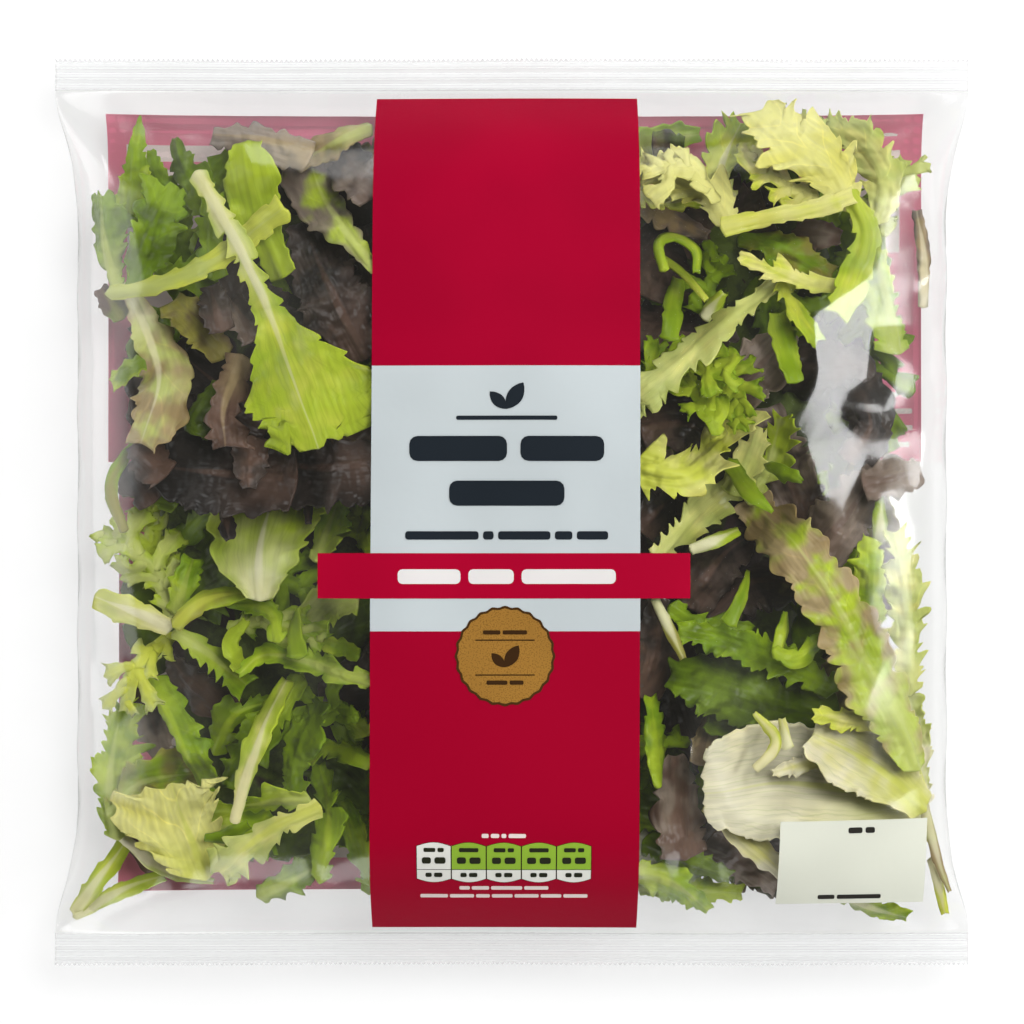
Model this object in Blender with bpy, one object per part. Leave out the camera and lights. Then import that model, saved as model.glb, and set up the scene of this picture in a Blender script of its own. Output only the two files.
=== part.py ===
"""A sealed pillow bag of salad leaves, lying on its back, as one closed solid.

Metres, +Z up. The origin is under the middle of the bag, on the surface that it lies on.
X runs across the bag, along its two end seals, and Y runs up its front.
"""

import math

import bmesh
import bpy

# The bag laid out, and how far its sides draw in where it is full.
SEAL_WIDTH = 0.270
BAG_LENGTH = 0.268
SEAL_DEPTH = 0.0095
BODY_WIDTH = 0.256

# Heights above the surface: the front film's crest, and the level of the sides and seals.
CREST = 0.058
SEAM_HEIGHT = 0.024
SEAL_DROOP = 0.003
SEAL_WAVE = 0.0012

# The bag goes from flat to plump over this run behind each seal.
PLUMP_RUN = 0.0185
END_TAPER = 0.14
UNDERSIDE_PRESS = 1.7

# The film is far thinner than this, which is as thin as a solid is made here.
SEAL_THICKNESS = 0.0010
RIB_COUNT = 6
RIB_HEIGHT = 0.0002

# The leaves push the front film up in low lumps, which dip this far either side of their mean.
LUMP_HEIGHT = 0.0010

# How finely the solid is faceted.
COLUMNS = 36
PLUMP_ROWS = 9
MIDDLE_ROWS = 14
ROWS_PER_RIB = 2

FILM_COLOUR = (0.46, 0.56, 0.24, 1.0)

SEAL_START = BAG_LENGTH / 2 - SEAL_DEPTH


def clear_scene():
    for found in list(bpy.data.objects):
        bpy.data.objects.remove(found)


def plumpness(y):
    """0 in a seal, rising to 1 where the bag is full."""
    inside = max(0.0, SEAL_START - abs(y))
    return math.sqrt(1.0 - math.exp(-((inside / PLUMP_RUN) ** 2)))


def half_width(y):
    """Half the bag's width: film drawn up over the leaves is drawn in at the sides."""
    return SEAL_WIDTH / 2 - (SEAL_WIDTH - BODY_WIDTH) / 2 * plumpness(y) ** 2


def seam_level(x, y):
    """Height of the level where the front and back film meet: the seals droop and wave a little."""
    flat = 1.0 - plumpness(y)
    wave = SEAL_WAVE * math.sin(math.tau * x / SEAL_WIDTH * 1.5 + math.copysign(0.8, y))
    return SEAM_HEIGHT - (SEAL_DROOP - wave) * flat


def fullness(y):
    """The share of the crest's height that the front reaches along the bag."""
    along = math.cos(math.pi * y / BAG_LENGTH)
    return plumpness(y) * (1.0 - END_TAPER + END_TAPER * along)


def lumps(x, y):
    """How far the front film dips below its crest between the leaves under it."""
    first = math.sin(x * 71.0 + 1.3) * math.sin(y * 64.0 + 0.4)
    second = math.sin(x * 39.0 - y * 47.0 + 2.1)
    return LUMP_HEIGHT * (0.6 * first + 0.4 * second - 1.0)


def seal_rib(y):
    """The crimped ribs across an end seal."""
    into = abs(y) - SEAL_START
    if into <= 0.0:
        return 0.0
    return RIB_HEIGHT * math.sin(math.pi * RIB_COUNT * into / SEAL_DEPTH) ** 2


def front_height(across, x, y):
    """The front film. across runs from -1 at one side to 1 at the other."""
    arch = math.cos(math.pi / 2 * across)
    rise = (CREST - SEAM_HEIGHT) * fullness(y) * arch
    lump = lumps(x, y) * plumpness(y) * arch
    return seam_level(x, y) + rise + lump + SEAL_THICKNESS / 2 + seal_rib(y)


def back_height(across, x, y):
    """The back film, which the bag's weight presses flat against the surface."""
    arch = math.cos(math.pi / 2 * across)
    sag = min(1.0, UNDERSIDE_PRESS * plumpness(y) * arch)
    eased = sag * (2.0 - sag)
    level = seam_level(x, y) - SEAL_THICKNESS / 2 - seal_rib(y)
    return max(0.0, level * (1.0 - eased))


def row_places():
    """Where the rows of faces lie along the bag, from one seal's cut edge to the other's."""
    seal_rows = RIB_COUNT * ROWS_PER_RIB
    seal = [SEAL_START + SEAL_DEPTH * i / seal_rows for i in range(1, seal_rows + 1)]
    plump_end = SEAL_START - 2.2 * PLUMP_RUN
    plump = []
    for i in range(PLUMP_ROWS + 1):
        share = i / PLUMP_ROWS
        plump.append(SEAL_START - (SEAL_START - plump_end) * share**1.3)
    middle = [plump_end * (1.0 - 2.0 * i / MIDDLE_ROWS) for i in range(1, MIDDLE_ROWS)]
    upper = sorted(seal, reverse=True) + plump
    return upper + middle + [-y for y in reversed(upper)]


def film_material():
    material = bpy.data.materials.new("salad_bag")
    material.use_nodes = True
    shader = material.node_tree.nodes["Principled BSDF"]
    shader.inputs["Base Color"].default_value = FILM_COLOUR
    shader.inputs["Roughness"].default_value = 0.25
    shader.inputs["Metallic"].default_value = 0.0
    return material


def make_bag(collection):
    """One flat grid, extruded to two sheets, which are then blown up to the front and the back."""
    rows = row_places()
    bm = bmesh.new()
    bmesh.ops.create_grid(bm, x_segments=COLUMNS, y_segments=len(rows) - 1, size=1.0)
    front = list(bm.verts)
    extruded = bmesh.ops.extrude_face_region(bm, geom=list(bm.faces))
    back = [part for part in extruded["geom"] if isinstance(part, bmesh.types.BMVert)]

    for sheet, height in ((front, front_height), (back, back_height)):
        for vert in sheet:
            across = vert.co.x
            row = round((1.0 - vert.co.y) / 2.0 * (len(rows) - 1))
            y = rows[row]
            x = half_width(y) * math.sin(math.pi / 2 * across)
            vert.co = (x, y, height(across, x, y))

    bmesh.ops.recalc_face_normals(bm, faces=bm.faces)
    mesh = bpy.data.meshes.new("salad_bag")
    bm.to_mesh(mesh)
    bm.free()
    mesh.shade_smooth()
    mesh.materials.append(film_material())
    bag = bpy.data.objects.new("salad_bag", mesh)
    collection.objects.link(bag)
    return bag


def main():
    clear_scene()
    collection = bpy.data.collections.new("bag_of_salad_leaves")
    bpy.context.scene.collection.children.link(collection)
    make_bag(collection)


main()
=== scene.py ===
"""A clear pillow bag of mixed salad leaves, lying on its back: film, end seals, print and leaves.

Metres, +Z up. X runs across the bag, along its end seals, and Y runs up its front.
"""

import math
import random

import bpy
import numpy as np
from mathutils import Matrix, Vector
from mathutils.geometry import delaunay_2d_cdt


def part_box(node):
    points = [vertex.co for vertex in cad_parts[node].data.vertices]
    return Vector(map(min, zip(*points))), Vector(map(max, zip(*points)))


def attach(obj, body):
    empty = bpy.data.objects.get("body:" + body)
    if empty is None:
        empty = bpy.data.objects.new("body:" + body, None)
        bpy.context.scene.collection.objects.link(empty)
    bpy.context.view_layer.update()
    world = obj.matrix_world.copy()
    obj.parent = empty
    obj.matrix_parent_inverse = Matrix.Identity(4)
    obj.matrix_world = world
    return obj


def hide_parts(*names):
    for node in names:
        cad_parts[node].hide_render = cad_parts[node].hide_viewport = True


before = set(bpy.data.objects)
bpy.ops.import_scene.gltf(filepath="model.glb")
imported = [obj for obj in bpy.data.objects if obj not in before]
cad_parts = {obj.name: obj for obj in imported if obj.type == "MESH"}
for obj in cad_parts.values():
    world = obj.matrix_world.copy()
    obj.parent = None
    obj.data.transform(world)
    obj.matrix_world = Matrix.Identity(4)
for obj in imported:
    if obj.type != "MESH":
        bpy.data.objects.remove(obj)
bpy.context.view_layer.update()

MM = 0.001
LOW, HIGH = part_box("salad_bag")
SEAL_WIDTH = HIGH.x - LOW.x
BAG_LENGTH = HIGH.y - LOW.y
SEAL_DEPTH = 9.5 * MM
SEAL_START = BAG_LENGTH / 2 - SEAL_DEPTH
BODY_WIDTH = 256 * MM
CREST = HIGH.z
SEAM_HEIGHT = 24 * MM
SEAL_DROOP = 3 * MM
SEAL_WAVE = 1.2 * MM
PLUMP_RUN = 18.5 * MM
END_TAPER = 0.14
UNDERSIDE_PRESS = 1.7
WELD_THICKNESS = 0.12 * MM

TURN = math.tau


# ---------------------------------------------------------------- the shape of the film


def smooth_step(low, high, value):
    share = np.clip((value - low) / (high - low), 0.0, 1.0)
    return share * share * (3.0 - 2.0 * share)


def plumpness(y):
    """0 in an end seal, rising to 1 where the bag is full."""
    inside = np.maximum(0.0, SEAL_START - np.abs(y))
    return np.sqrt(1.0 - np.exp(-((inside / PLUMP_RUN) ** 2)))


def half_width(y):
    return SEAL_WIDTH / 2 - (SEAL_WIDTH - BODY_WIDTH) / 2 * plumpness(y) ** 2


def seam_level(x, y):
    """Height where the front and back film meet."""
    wave = SEAL_WAVE * np.sin(TURN * x / SEAL_WIDTH * 1.5 + np.where(y < 0, -0.8, 0.8))
    return SEAM_HEIGHT - (SEAL_DROOP - wave) * (1.0 - plumpness(y))


def arch(x, y):
    """How high the film is arched at x, from 0 at the bag's sides to 1 along its middle."""
    return np.sqrt(np.clip(1.0 - (x / half_width(y)) ** 2, 0.0, 1.0))


def crease(x, y, start, end, height, softness):
    """A fold in the film from start to end, in millimetres: a ridge, or a groove if height is negative."""
    x0, y0 = start[0] * MM, start[1] * MM
    dx, dy = end[0] * MM - x0, end[1] * MM - y0
    length = math.hypot(dx, dy)
    along = ((x - x0) * dx + (y - y0) * dy) / length**2
    off = ((x - x0) * dy - (y - y0) * dx) / length
    fade = np.sin(np.pi * np.clip(along, 0.0, 1.0))
    return height * MM * fade * np.exp(-np.abs(off) / (softness * MM))


# The larger soft folds: start, end, height and softness in millimetres.
CREASES = [
    ((128, 116), (118, 88), 1.2, 2.4),
    ((-60, -96), (-50, -114), 1.0, 3.0),
    ((-82, 116), (-70, 92), 0.9, 3.0),
]

# Points that the film is pulled up or down at, in millimetres. It lies in flat facets between them.
PULLED = [
    # The two large facets at the right, which mirror a lamp.
    (111.7, 91, -0.8), (106.5, 69.4, -0.8), (117.4, 66, -1.6),
    (85.7, 56, 3.2), (87.5, 39.5, 2.8), (93.4, 31, 1.0), (102.8, 38.5, -1.4), (104.6, 54, -1.6),
    (114, 45, 0.4),
    # The star of small facets below them.
    (79.2, 25, 3.4), (84.5, 17.4, 1.9), (87.5, 9.7, 1.1), (89.2, 3.2, 0.5), (102.3, 13.8, -2.4),
    (96.3, 19.5, -1.2), (99, 23, -1.6), (108, 21.5, -2.2), (113, 16.8, -2.4),
    # Where the film round them tips up or down along the bag, and mirrors nothing.
    (98, 80, -0.8), (104, 97, -0.6), (118, 99, 1.6), (124, 84, -4.0), (125, 70, 1.2), (124, 56, -4.2),
    (122, 39, 1.2), (122, 25, -1.4), (76, 60, 0), (86, 72, 0), (108, 30, 0.6), (80, 44, 0), (74, 34, 0),
    (73, 20, 0), (79, 8, 0), (83, -2, 0), (96, -2, 0), (107, 5, 0.8), (118, 6, 0),
    # An upright fold low down at the right.
    (49, -56, 0), (50.2, -70, 1.1), (49.5, -84, 1.5), (48.5, -98, 1.2), (48, -110, 0),
    (46.5, -70, 0), (46, -84, 0), (45, -98, 0), (54, -70, -0.5), (53.4, -84, -0.7), (52.2, -98, -0.5),
    # Small ones at the left side and in the lower corners.
    (-121, -50, -1.2), (-112, -49, 1.2), (-105, -50, 0), (-117, -38, 0), (-116, -63, 0),
    (-96, -104, 0.2), (-88, -109, 1.4), (-78, -104, 0.3), (-54, -112, 0.9), (-47, -102, 0.8), (-50, -96, 0),
    (-90, 104, 0), (-76, 112, 1.1), (-62, 106, 0), (-112, 88, 0.8), (-119, 70, -0.5),
]


def pulled_points():
    """The points above, with random ones in between them, which pull less across the print."""
    rng = random.Random(17)
    points = list(PULLED)
    for _ in range(900):
        x, y = rng.uniform(-130, 130), rng.uniform(-124, 124)
        if min(math.dist((x, y), point[:2]) for point in points) > 13.0:
            strength = 0.12 if abs(x) < 46 else 0.9
            points.append((x, y, rng.uniform(-strength, strength)))
    for x in (-150, 0, 150):
        for y in (-150, 0, 150):
            if x or y:
                points.append((x, y, 0))
    return points


def triangles_between(points):
    """The corners of the flat triangles between points, in metres, without slivers."""
    flat = [Vector((x, y)) for x, y, _ in points]
    _, _, faces, kept, _, _ = delaunay_2d_cdt(flat, [], [], 0, 0.001)
    order = [origin[0] for origin in kept]
    return [np.array([points[order[corner]] for corner in face]) * MM for face in faces]


TRIANGLES = triangles_between(pulled_points())


def facets(x, y):
    """Height of the flat facets that the film lies in."""
    height = np.zeros_like(x)
    for first, second, third in TRIANGLES:
        low, high = np.min((first, second, third), axis=0), np.max((first, second, third), axis=0)
        near = (x >= low[0]) & (x <= high[0]) & (y >= low[1]) & (y <= high[1])
        if not near.any():
            continue
        px, py = x[near] - first[0], y[near] - first[1]
        (ax, ay, az), (bx, by, bz) = second - first, third - first
        area = ax * by - ay * bx
        u, v = (px * by - py * bx) / area, (ax * py - ay * px) / area
        inside = (u >= -1e-9) & (v >= -1e-9) & (u + v <= 1.0 + 1e-9)
        spots = np.nonzero(near)
        height[tuple(axis[inside] for axis in spots)] = (first[2] + u * az + v * bz)[inside]
    return height


def random_creases():
    """Small folds all over the front film, and pleats that run in from the end seals."""
    rng = random.Random(5)
    folds = []
    for _ in range(30):
        x, y = rng.uniform(-122, 122), rng.uniform(-112, 112)
        turn, length = rng.uniform(0, math.pi), rng.uniform(16, 46)
        height = rng.choice((-1, 1)) * rng.uniform(0.25, 0.7)
        if abs(x) < 44:
            height *= 0.15
        end = (x + length * math.cos(turn), y + length * math.sin(turn))
        folds.append(((x, y), end, height, rng.uniform(2.0, 5.0)))
    for side in (-1, 1):
        for _ in range(30):
            x, lean = rng.uniform(-130, 130), rng.uniform(-9, 9)
            start = (x, side * (SEAL_START / MM + 3))
            end = (x * 0.96 + lean, side * (SEAL_START / MM - rng.uniform(14, 42)))
            height = rng.choice((-1, 1)) * rng.uniform(0.25, 0.7)
            if abs(x) < 44:
                height *= 0.35
            folds.append((start, end, height, rng.uniform(1.6, 3.6)))
    return folds


SMALL_CREASES = random_creases()


def wrinkles(x, y):
    """How far folds and flat patches move the front film up or down."""
    height = 0.7 * MM * np.sin(x * 71.0 + 1.3) * np.sin(y * 64.0 + 0.4)
    height = height + 0.5 * MM * np.sin(x * 39.0 - y * 47.0 + 2.1)
    for fold in CREASES + SMALL_CREASES:
        height = height + crease(x, y, *fold)
    return height + facets(x, y)


def front_film(x, y):
    """Height of the front film."""
    full = plumpness(y) * (1.0 - END_TAPER + END_TAPER * np.cos(np.pi * y / BAG_LENGTH))
    rise = (CREST - 1.5 * MM - SEAM_HEIGHT) * full * arch(x, y)
    loose = np.sqrt(plumpness(y)) * np.sqrt(arch(x, y))
    return seam_level(x, y) + rise + wrinkles(x, y) * loose


def back_film(x, y):
    """Height of the back film, which the bag's weight presses flat."""
    sag = np.minimum(1.0, UNDERSIDE_PRESS * plumpness(y) * arch(x, y))
    crinkle = 0.15 * MM * (1.0 + np.sin(x * 310.0 + 2.0 * np.sin(y * 90.0)))
    return seam_level(x, y) * (1.0 - sag * (2.0 - sag)) + crinkle + 0.35 * MM


# ---------------------------------------------------------------- modelling helpers


def deselect():
    bpy.ops.object.select_all(action="DESELECT")


def select_only(piece):
    deselect()
    piece.select_set(True)
    bpy.context.view_layer.objects.active = piece


def name_piece(name):
    piece = bpy.context.object
    piece.name = name
    piece.data.name = name
    return piece


def edit_all():
    bpy.ops.object.mode_set(mode="EDIT")
    bpy.ops.mesh.select_all(action="SELECT")


def leave_edit():
    bpy.ops.object.mode_set(mode="OBJECT")


def points_of(piece):
    spots = np.zeros(len(piece.data.vertices) * 3)
    piece.data.vertices.foreach_get("co", spots)
    return spots.reshape(-1, 3)


def move_points(piece, spots):
    piece.data.vertices.foreach_set("co", np.ascontiguousarray(spots, dtype=np.float64).ravel())
    piece.data.update()


def apply_modifier(piece, kind, **settings):
    select_only(piece)
    modifier = piece.modifiers.new(kind.lower(), kind)
    for name, value in settings.items():
        setattr(modifier, name, value)
    bpy.ops.object.modifier_apply(modifier=modifier.name)


def recalculate(piece):
    select_only(piece)
    edit_all()
    bpy.ops.mesh.normals_make_consistent(inside=False)
    leave_edit()


def join(pieces, name):
    deselect()
    for piece in pieces:
        piece.select_set(True)
    bpy.context.view_layer.objects.active = pieces[0]
    if len(pieces) > 1:
        bpy.ops.object.join()
    return name_piece(name)


def finish_piece(piece, material):
    """Gives a finished piece its material and makes it ride with the bag."""
    piece.data.materials.clear()
    piece.data.materials.append(material)
    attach(piece, "root")


# ---------------------------------------------------------------- node helpers


class Nodes:
    """A short way to write a shader's nodes."""

    def __init__(self, tree):
        self.tree = tree

    def add(self, kind, **settings):
        node = self.tree.nodes.new(kind)
        for name, value in settings.items():
            setattr(node, name, value)
        return node

    def link(self, source, target):
        self.tree.links.new(source, target)

    def put(self, value, socket):
        """A value can be a number, a colour or another node's output."""
        if isinstance(value, bpy.types.NodeSocket):
            self.link(value, socket)
        else:
            socket.default_value = value

    def math(self, operation, first, second=0.0, third=0.0):
        node = self.add("ShaderNodeMath", operation=operation)
        for value, socket in zip((first, second, third), node.inputs):
            self.put(value, socket)
        return node.outputs[0]

    def ramp(self, value, low, high, out_low=0.0, out_high=1.0):
        """A smooth step from out_low to out_high while value goes from low to high."""
        node = self.add("ShaderNodeMapRange", interpolation_type="SMOOTHSTEP")
        for number, socket in zip((value, low, high, out_low, out_high), node.inputs):
            self.put(number, socket)
        return node.outputs["Result"]

    def mix(self, share, first, second, blend="MIX"):
        node = self.add("ShaderNodeMix", data_type="RGBA", blend_type=blend)
        self.put(share, node.inputs["Factor"])
        # A mix of colours has its two colours at 6 and 7, and its result at 2.
        self.put(first, node.inputs[6])
        self.put(second, node.inputs[7])
        return node.outputs[2]

    def noise(self, vector, scale, detail=2.0, roughness=0.5):
        node = self.add("ShaderNodeTexNoise")
        self.link(vector, node.inputs["Vector"])
        node.inputs["Scale"].default_value = scale
        node.inputs["Detail"].default_value = detail
        node.inputs["Roughness"].default_value = roughness
        return node.outputs["Fac"]

    def stretch(self, vector, scale):
        node = self.add("ShaderNodeMapping")
        self.link(vector, node.inputs["Vector"])
        node.inputs["Scale"].default_value = scale
        return node.outputs["Vector"]

    def bump(self, height, distance, strength=1.0):
        node = self.add("ShaderNodeBump")
        node.inputs["Strength"].default_value = strength
        node.inputs["Distance"].default_value = distance
        self.link(height, node.inputs["Height"])
        return node.outputs["Normal"]

    def blend(self, share, first, second):
        """Two shaders mixed: share is how much of the second there is."""
        node = self.add("ShaderNodeMixShader")
        self.put(share, node.inputs[0])
        self.link(first.outputs[0], node.inputs[1])
        self.link(second.outputs[0], node.inputs[2])
        return node


def new_material(name):
    material = bpy.data.materials.new(name)
    material.use_nodes = True
    tree = material.node_tree
    shader = tree.nodes["Principled BSDF"]
    output = tree.nodes["Material Output"]
    return material, Nodes(tree), shader, output


def srgb(red, green, blue):
    """A colour as a screen shows it, from 0 to 255, made linear."""
    def linear(value):
        value /= 255.0
        return value / 12.92 if value <= 0.04045 else ((value + 0.055) / 1.055) ** 2.4
    return (linear(red), linear(green), linear(blue), 1.0)


# ---------------------------------------------------------------- film

FILM_GLOSS = 0.06
FILM_CLEAR = (0.993, 0.994, 0.993, 1.0)
HAZE_LEAST, HAZE_MOST = 0.010, 0.028


def film_material():
    """Clear film: what passes through it, a gloss that grows at a slant, and a milky haze in patches."""
    material, n, shader, output = new_material("clear_film")
    n.tree.nodes.remove(shader)
    place = n.add("ShaderNodeTexCoord").outputs["Object"]
    through = n.add("ShaderNodeBsdfTransparent")
    through.inputs["Color"].default_value = FILM_CLEAR
    mirror = n.add("ShaderNodeBsdfGlossy")
    facing = n.add("ShaderNodeLayerWeight").outputs["Facing"]
    mirrored = n.math("MULTIPLY_ADD", n.math("POWER", facing, 5.0), 0.75, FILM_GLOSS)
    glossy = n.blend(mirrored, through, mirror)
    milk = n.add("ShaderNodeBsdfDiffuse")
    milk.inputs["Color"].default_value = (0.95, 0.93, 0.82, 1.0)
    patches = n.noise(n.stretch(place, (1.0, 0.45, 1.0)), 30.0, 0.0)
    share = n.ramp(patches, 0.42, 0.72, HAZE_LEAST, HAZE_MOST)
    n.link(n.ramp(patches, 0.3, 0.7, 0.15, 0.19), mirror.inputs["Roughness"])
    n.link(n.blend(share, glossy, milk).outputs[0], output.inputs["Surface"])
    return material


def double_sheet(name, across_cells, along_cells):
    """A grid extruded to two sheets, joined round the edge. Returns it with its two sheets' point numbers."""
    bpy.ops.mesh.primitive_grid_add(x_subdivisions=across_cells, y_subdivisions=along_cells, size=2.0)
    piece = name_piece(name)
    count = len(piece.data.vertices)
    edit_all()
    bpy.ops.mesh.extrude_region_move(TRANSFORM_OT_translate={"value": (0.0, 0.0, -1.0)})
    leave_edit()
    spots = points_of(piece)
    upper = spots[:, 2] > -0.5
    if upper.sum() != count:
        raise ValueError(f"{name}: the two sheets have unlike numbers of points")
    return piece, spots, upper


def make_film():
    """The bag's body: one closed skin of front and back film, joined along both sides and both ends."""
    piece, spots, upper = double_sheet("film", 200, 150)
    across, along = spots[:, 0], spots[:, 1]
    # Rows lie closer together behind the seals, where the film bends most.
    y = (SEAL_START + 0.4 * MM) * np.sin(math.pi / 2 * along * 0.86) / math.sin(math.pi / 2 * 0.86)
    x = half_width(y) * (0.75 * np.sin(math.pi / 2 * across) + 0.25 * across)
    x = x + 0.35 * MM * np.sin(y * 190.0 + np.sign(across)) * np.abs(across) ** 8 * plumpness(y)
    front = np.maximum(front_film(x, y), seam_level(x, y) + WELD_THICKNESS / 2)
    back = np.minimum(back_film(x, y), seam_level(x, y) - WELD_THICKNESS / 2)
    move_points(piece, np.stack([x, y, np.where(upper, front, back)], axis=1))
    recalculate(piece)
    piece.data.shade_smooth()
    finish_piece(piece, film_material())
    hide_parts("salad_bag")


SEAL_RIBS = 6
SEAL_TEETH = 186


def make_end_seals():
    """The crimped strips at both ends, ribbed along their length, with a zigzag cut edge."""
    seals = []
    for side in (-1, 1):
        piece, spots, upper = double_sheet("seal", SEAL_TEETH * 2, SEAL_RIBS * 3)
        across, into = spots[:, 0], (spots[:, 1] + 1.0) / 2
        x = across * SEAL_WIDTH / 2
        tooth = np.round((across + 1.0) * SEAL_TEETH) % 2
        cut = smooth_step(0.86, 1.0, into) * tooth * 0.7 * MM
        y = side * (SEAL_START + into * SEAL_DEPTH - cut)
        rib = 0.22 * MM * np.sin(math.pi * SEAL_RIBS * into)
        curl = 0.5 * MM * np.sin(x * 120.0 + side) * into
        mid = seam_level(x, side * BAG_LENGTH / 2 * np.ones_like(x)) + rib + curl
        z = mid + np.where(upper, 0.5, -0.5) * WELD_THICKNESS
        move_points(piece, np.stack([x, y, z], axis=1))
        recalculate(piece)
        seals.append(piece)
    piece = join(seals, "end_seals")
    piece.data.shade_smooth()
    finish_piece(piece, seal_material())


def seal_material():
    """Welded film: hazier than the bag, with darker lines along its ribs."""
    material, n, shader, output = new_material("crimped_seal")
    n.tree.nodes.remove(shader)
    place = n.add("ShaderNodeTexCoord").outputs["Object"]
    split = n.add("ShaderNodeSeparateXYZ")
    n.link(place, split.inputs[0])
    into = n.math("SUBTRACT", n.math("ABSOLUTE", split.outputs["Y"]), SEAL_START)
    wave = n.math("SINE", n.math("MULTIPLY", into, math.tau * SEAL_RIBS / SEAL_DEPTH))
    lines = n.ramp(wave, -0.4, 0.9, 0.40, 0.20)
    through = n.add("ShaderNodeBsdfTransparent")
    through.inputs["Color"].default_value = (0.96, 0.963, 0.963, 1.0)
    milk = n.add("ShaderNodeBsdfPrincipled")
    milk.inputs["Base Color"].default_value = (0.92, 0.922, 0.925, 1.0)
    milk.inputs["Roughness"].default_value = 0.3
    mottle = n.noise(place, 900.0, 2.0)
    n.link(n.bump(mottle, 0.0001, 0.4), milk.inputs["Normal"])
    n.link(n.blend(lines, through, milk).outputs[0], output.inputs["Surface"])
    return material


# ---------------------------------------------------------------- print

PRINT_THICKNESS = 0.04 * MM
PANEL_LIFT = 0.14 * MM
FIELD_LIFT = 0.22 * MM
BANNER_LIFT = 0.30 * MM
MARK_LIFT = 0.38 * MM
TOP_MARK_LIFT = 0.46 * MM


def flat_shape(outline):
    """A flat face inside an outline of points in millimetres."""
    bpy.ops.mesh.primitive_circle_add(vertices=len(outline), radius=1.0, fill_type="NGON")
    piece = name_piece("flat_shape")
    spots = points_of(piece)
    turn = np.arctan2(spots[:, 1], spots[:, 0])
    order = np.argsort(turn)
    corners = np.array([(x * MM, y * MM, 0.0) for x, y in outline])
    spots[order] = corners
    move_points(piece, spots)
    return piece


def box_outline(left, bottom, right, top):
    return [(left, bottom), (right, bottom), (right, top), (left, top)]


def round_bar(left, bottom, right, top, corner):
    """A bar with round corners."""
    points = []
    middles = ((right - corner, bottom + corner), (right - corner, top - corner),
               (left + corner, top - corner), (left + corner, bottom + corner))
    for quarter, (x, y) in enumerate(middles):
        for step in range(4):
            turn = math.pi / 2 * (quarter - 1 + step / 3)
            points.append((x + corner * math.cos(turn), y + corner * math.sin(turn)))
    return points


def leaf_outline(x, y, length, width, turn):
    """A plain pointed leaf whose stalk end is at x, y."""
    points = []
    for side in (-1, 1):
        for step in range(9):
            along = step / 9 if side < 0 else 1 - step / 9
            out = side * width / 2 * math.sin(math.pi * along) ** 0.8
            points.append((x + along * length * math.cos(turn) - out * math.sin(turn),
                           y + along * length * math.sin(turn) + out * math.cos(turn)))
    return points


def on_film(shapes, name, lift, cell=3.0, film=front_film, up=1.0):
    """Joins flat shapes, cuts them into small cells, and lays them on the film as thin ink."""
    piece = join(shapes, name)
    spots = points_of(piece)
    low, high = spots.min(axis=0), spots.max(axis=0)
    edit_all()
    for axis, normal in ((0, (1, 0, 0)), (1, (0, 1, 0))):
        cuts = int((high[axis] - low[axis]) / (cell * MM))
        for cut in range(1, cuts + 1):
            at = [0.0, 0.0, 0.0]
            at[axis] = low[axis] + (high[axis] - low[axis]) * cut / (cuts + 1)
            bpy.ops.mesh.select_all(action="SELECT")
            bpy.ops.mesh.bisect(plane_co=at, plane_no=normal)
    leave_edit()
    spots = points_of(piece)
    spots[:, 2] = film(spots[:, 0], spots[:, 1]) + up * lift
    move_points(piece, spots)
    apply_modifier(piece, "TRIANGULATE")
    apply_modifier(piece, "SOLIDIFY", thickness=PRINT_THICKNESS, offset=1.0 if up > 0 else -1.0)
    recalculate(piece)
    select_only(piece)
    bpy.ops.object.shade_smooth_by_angle(angle=math.radians(35))
    return piece


def ink_material(name, colour, second=None, roughness=0.5):
    """Printed ink under a film's gloss: nearly even, with faint clouds and fine print grain."""
    material, n, shader, _ = new_material(name)
    place = n.add("ShaderNodeTexCoord").outputs["Object"]
    clouds = n.noise(place, 30.0, 1.0)
    darker = tuple(channel * 0.90 for channel in colour[:3]) + (1.0,)
    shade = n.mix(n.ramp(clouds, 0.3, 0.7), darker, colour)
    if second is not None:
        split = n.add("ShaderNodeSeparateXYZ")
        n.link(place, split.inputs[0])
        down = n.ramp(split.outputs["Y"], 0.12, -0.12)
        shade = n.mix(down, shade, second)
    n.link(shade, shader.inputs["Base Color"])
    grain = n.noise(place, 2600.0, 0.0)
    n.link(n.ramp(grain, 0.3, 0.7, roughness - 0.04, roughness + 0.06), shader.inputs["Roughness"])
    n.link(n.bump(n.noise(place, 420.0, 0.0), 0.00008, 0.5), shader.inputs["Normal"])
    shader.inputs["Specular IOR Level"].default_value = 0.02
    return material


# The front print's fields, in millimetres from the middle of the bag.
PANEL_LEFT_TOP, PANEL_LEFT_BOTTOM, PANEL_RIGHT = -39.8, -41.2, 36.8
PANEL_TOP, PANEL_BOTTOM = 121.6, -122.4
FIELD_TOP, FIELD_BOTTOM = 42.0, -34.2
BANNER = (-55.8, -24.8, 51.2, -11.8)
BADGE_MIDDLE, BADGE_RADIUS = (-2.0, -41.3), 14.2
LABEL = (77.2, -114.4, 121.4, -89.4)
WORD_GAP = 1.6


def panel_left(y):
    """The crimson panel's left edge, which leans out a little towards the bottom."""
    share = (PANEL_TOP - y) / (PANEL_TOP - PANEL_BOTTOM)
    return PANEL_LEFT_TOP + (PANEL_LEFT_BOTTOM - PANEL_LEFT_TOP) * share


def print_line(middle, bottom, height, words):
    """Round bars in a row, as long as words, where a pack has a line of print."""
    total = sum(words) + WORD_GAP * height / 3 * (len(words) - 1)
    left, shapes = middle - total / 2, []
    for word in words:
        shapes.append(flat_shape(round_bar(left, bottom, left + word, bottom + height, height * 0.32)))
        left += word + WORD_GAP * height / 3
    return shapes


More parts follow.
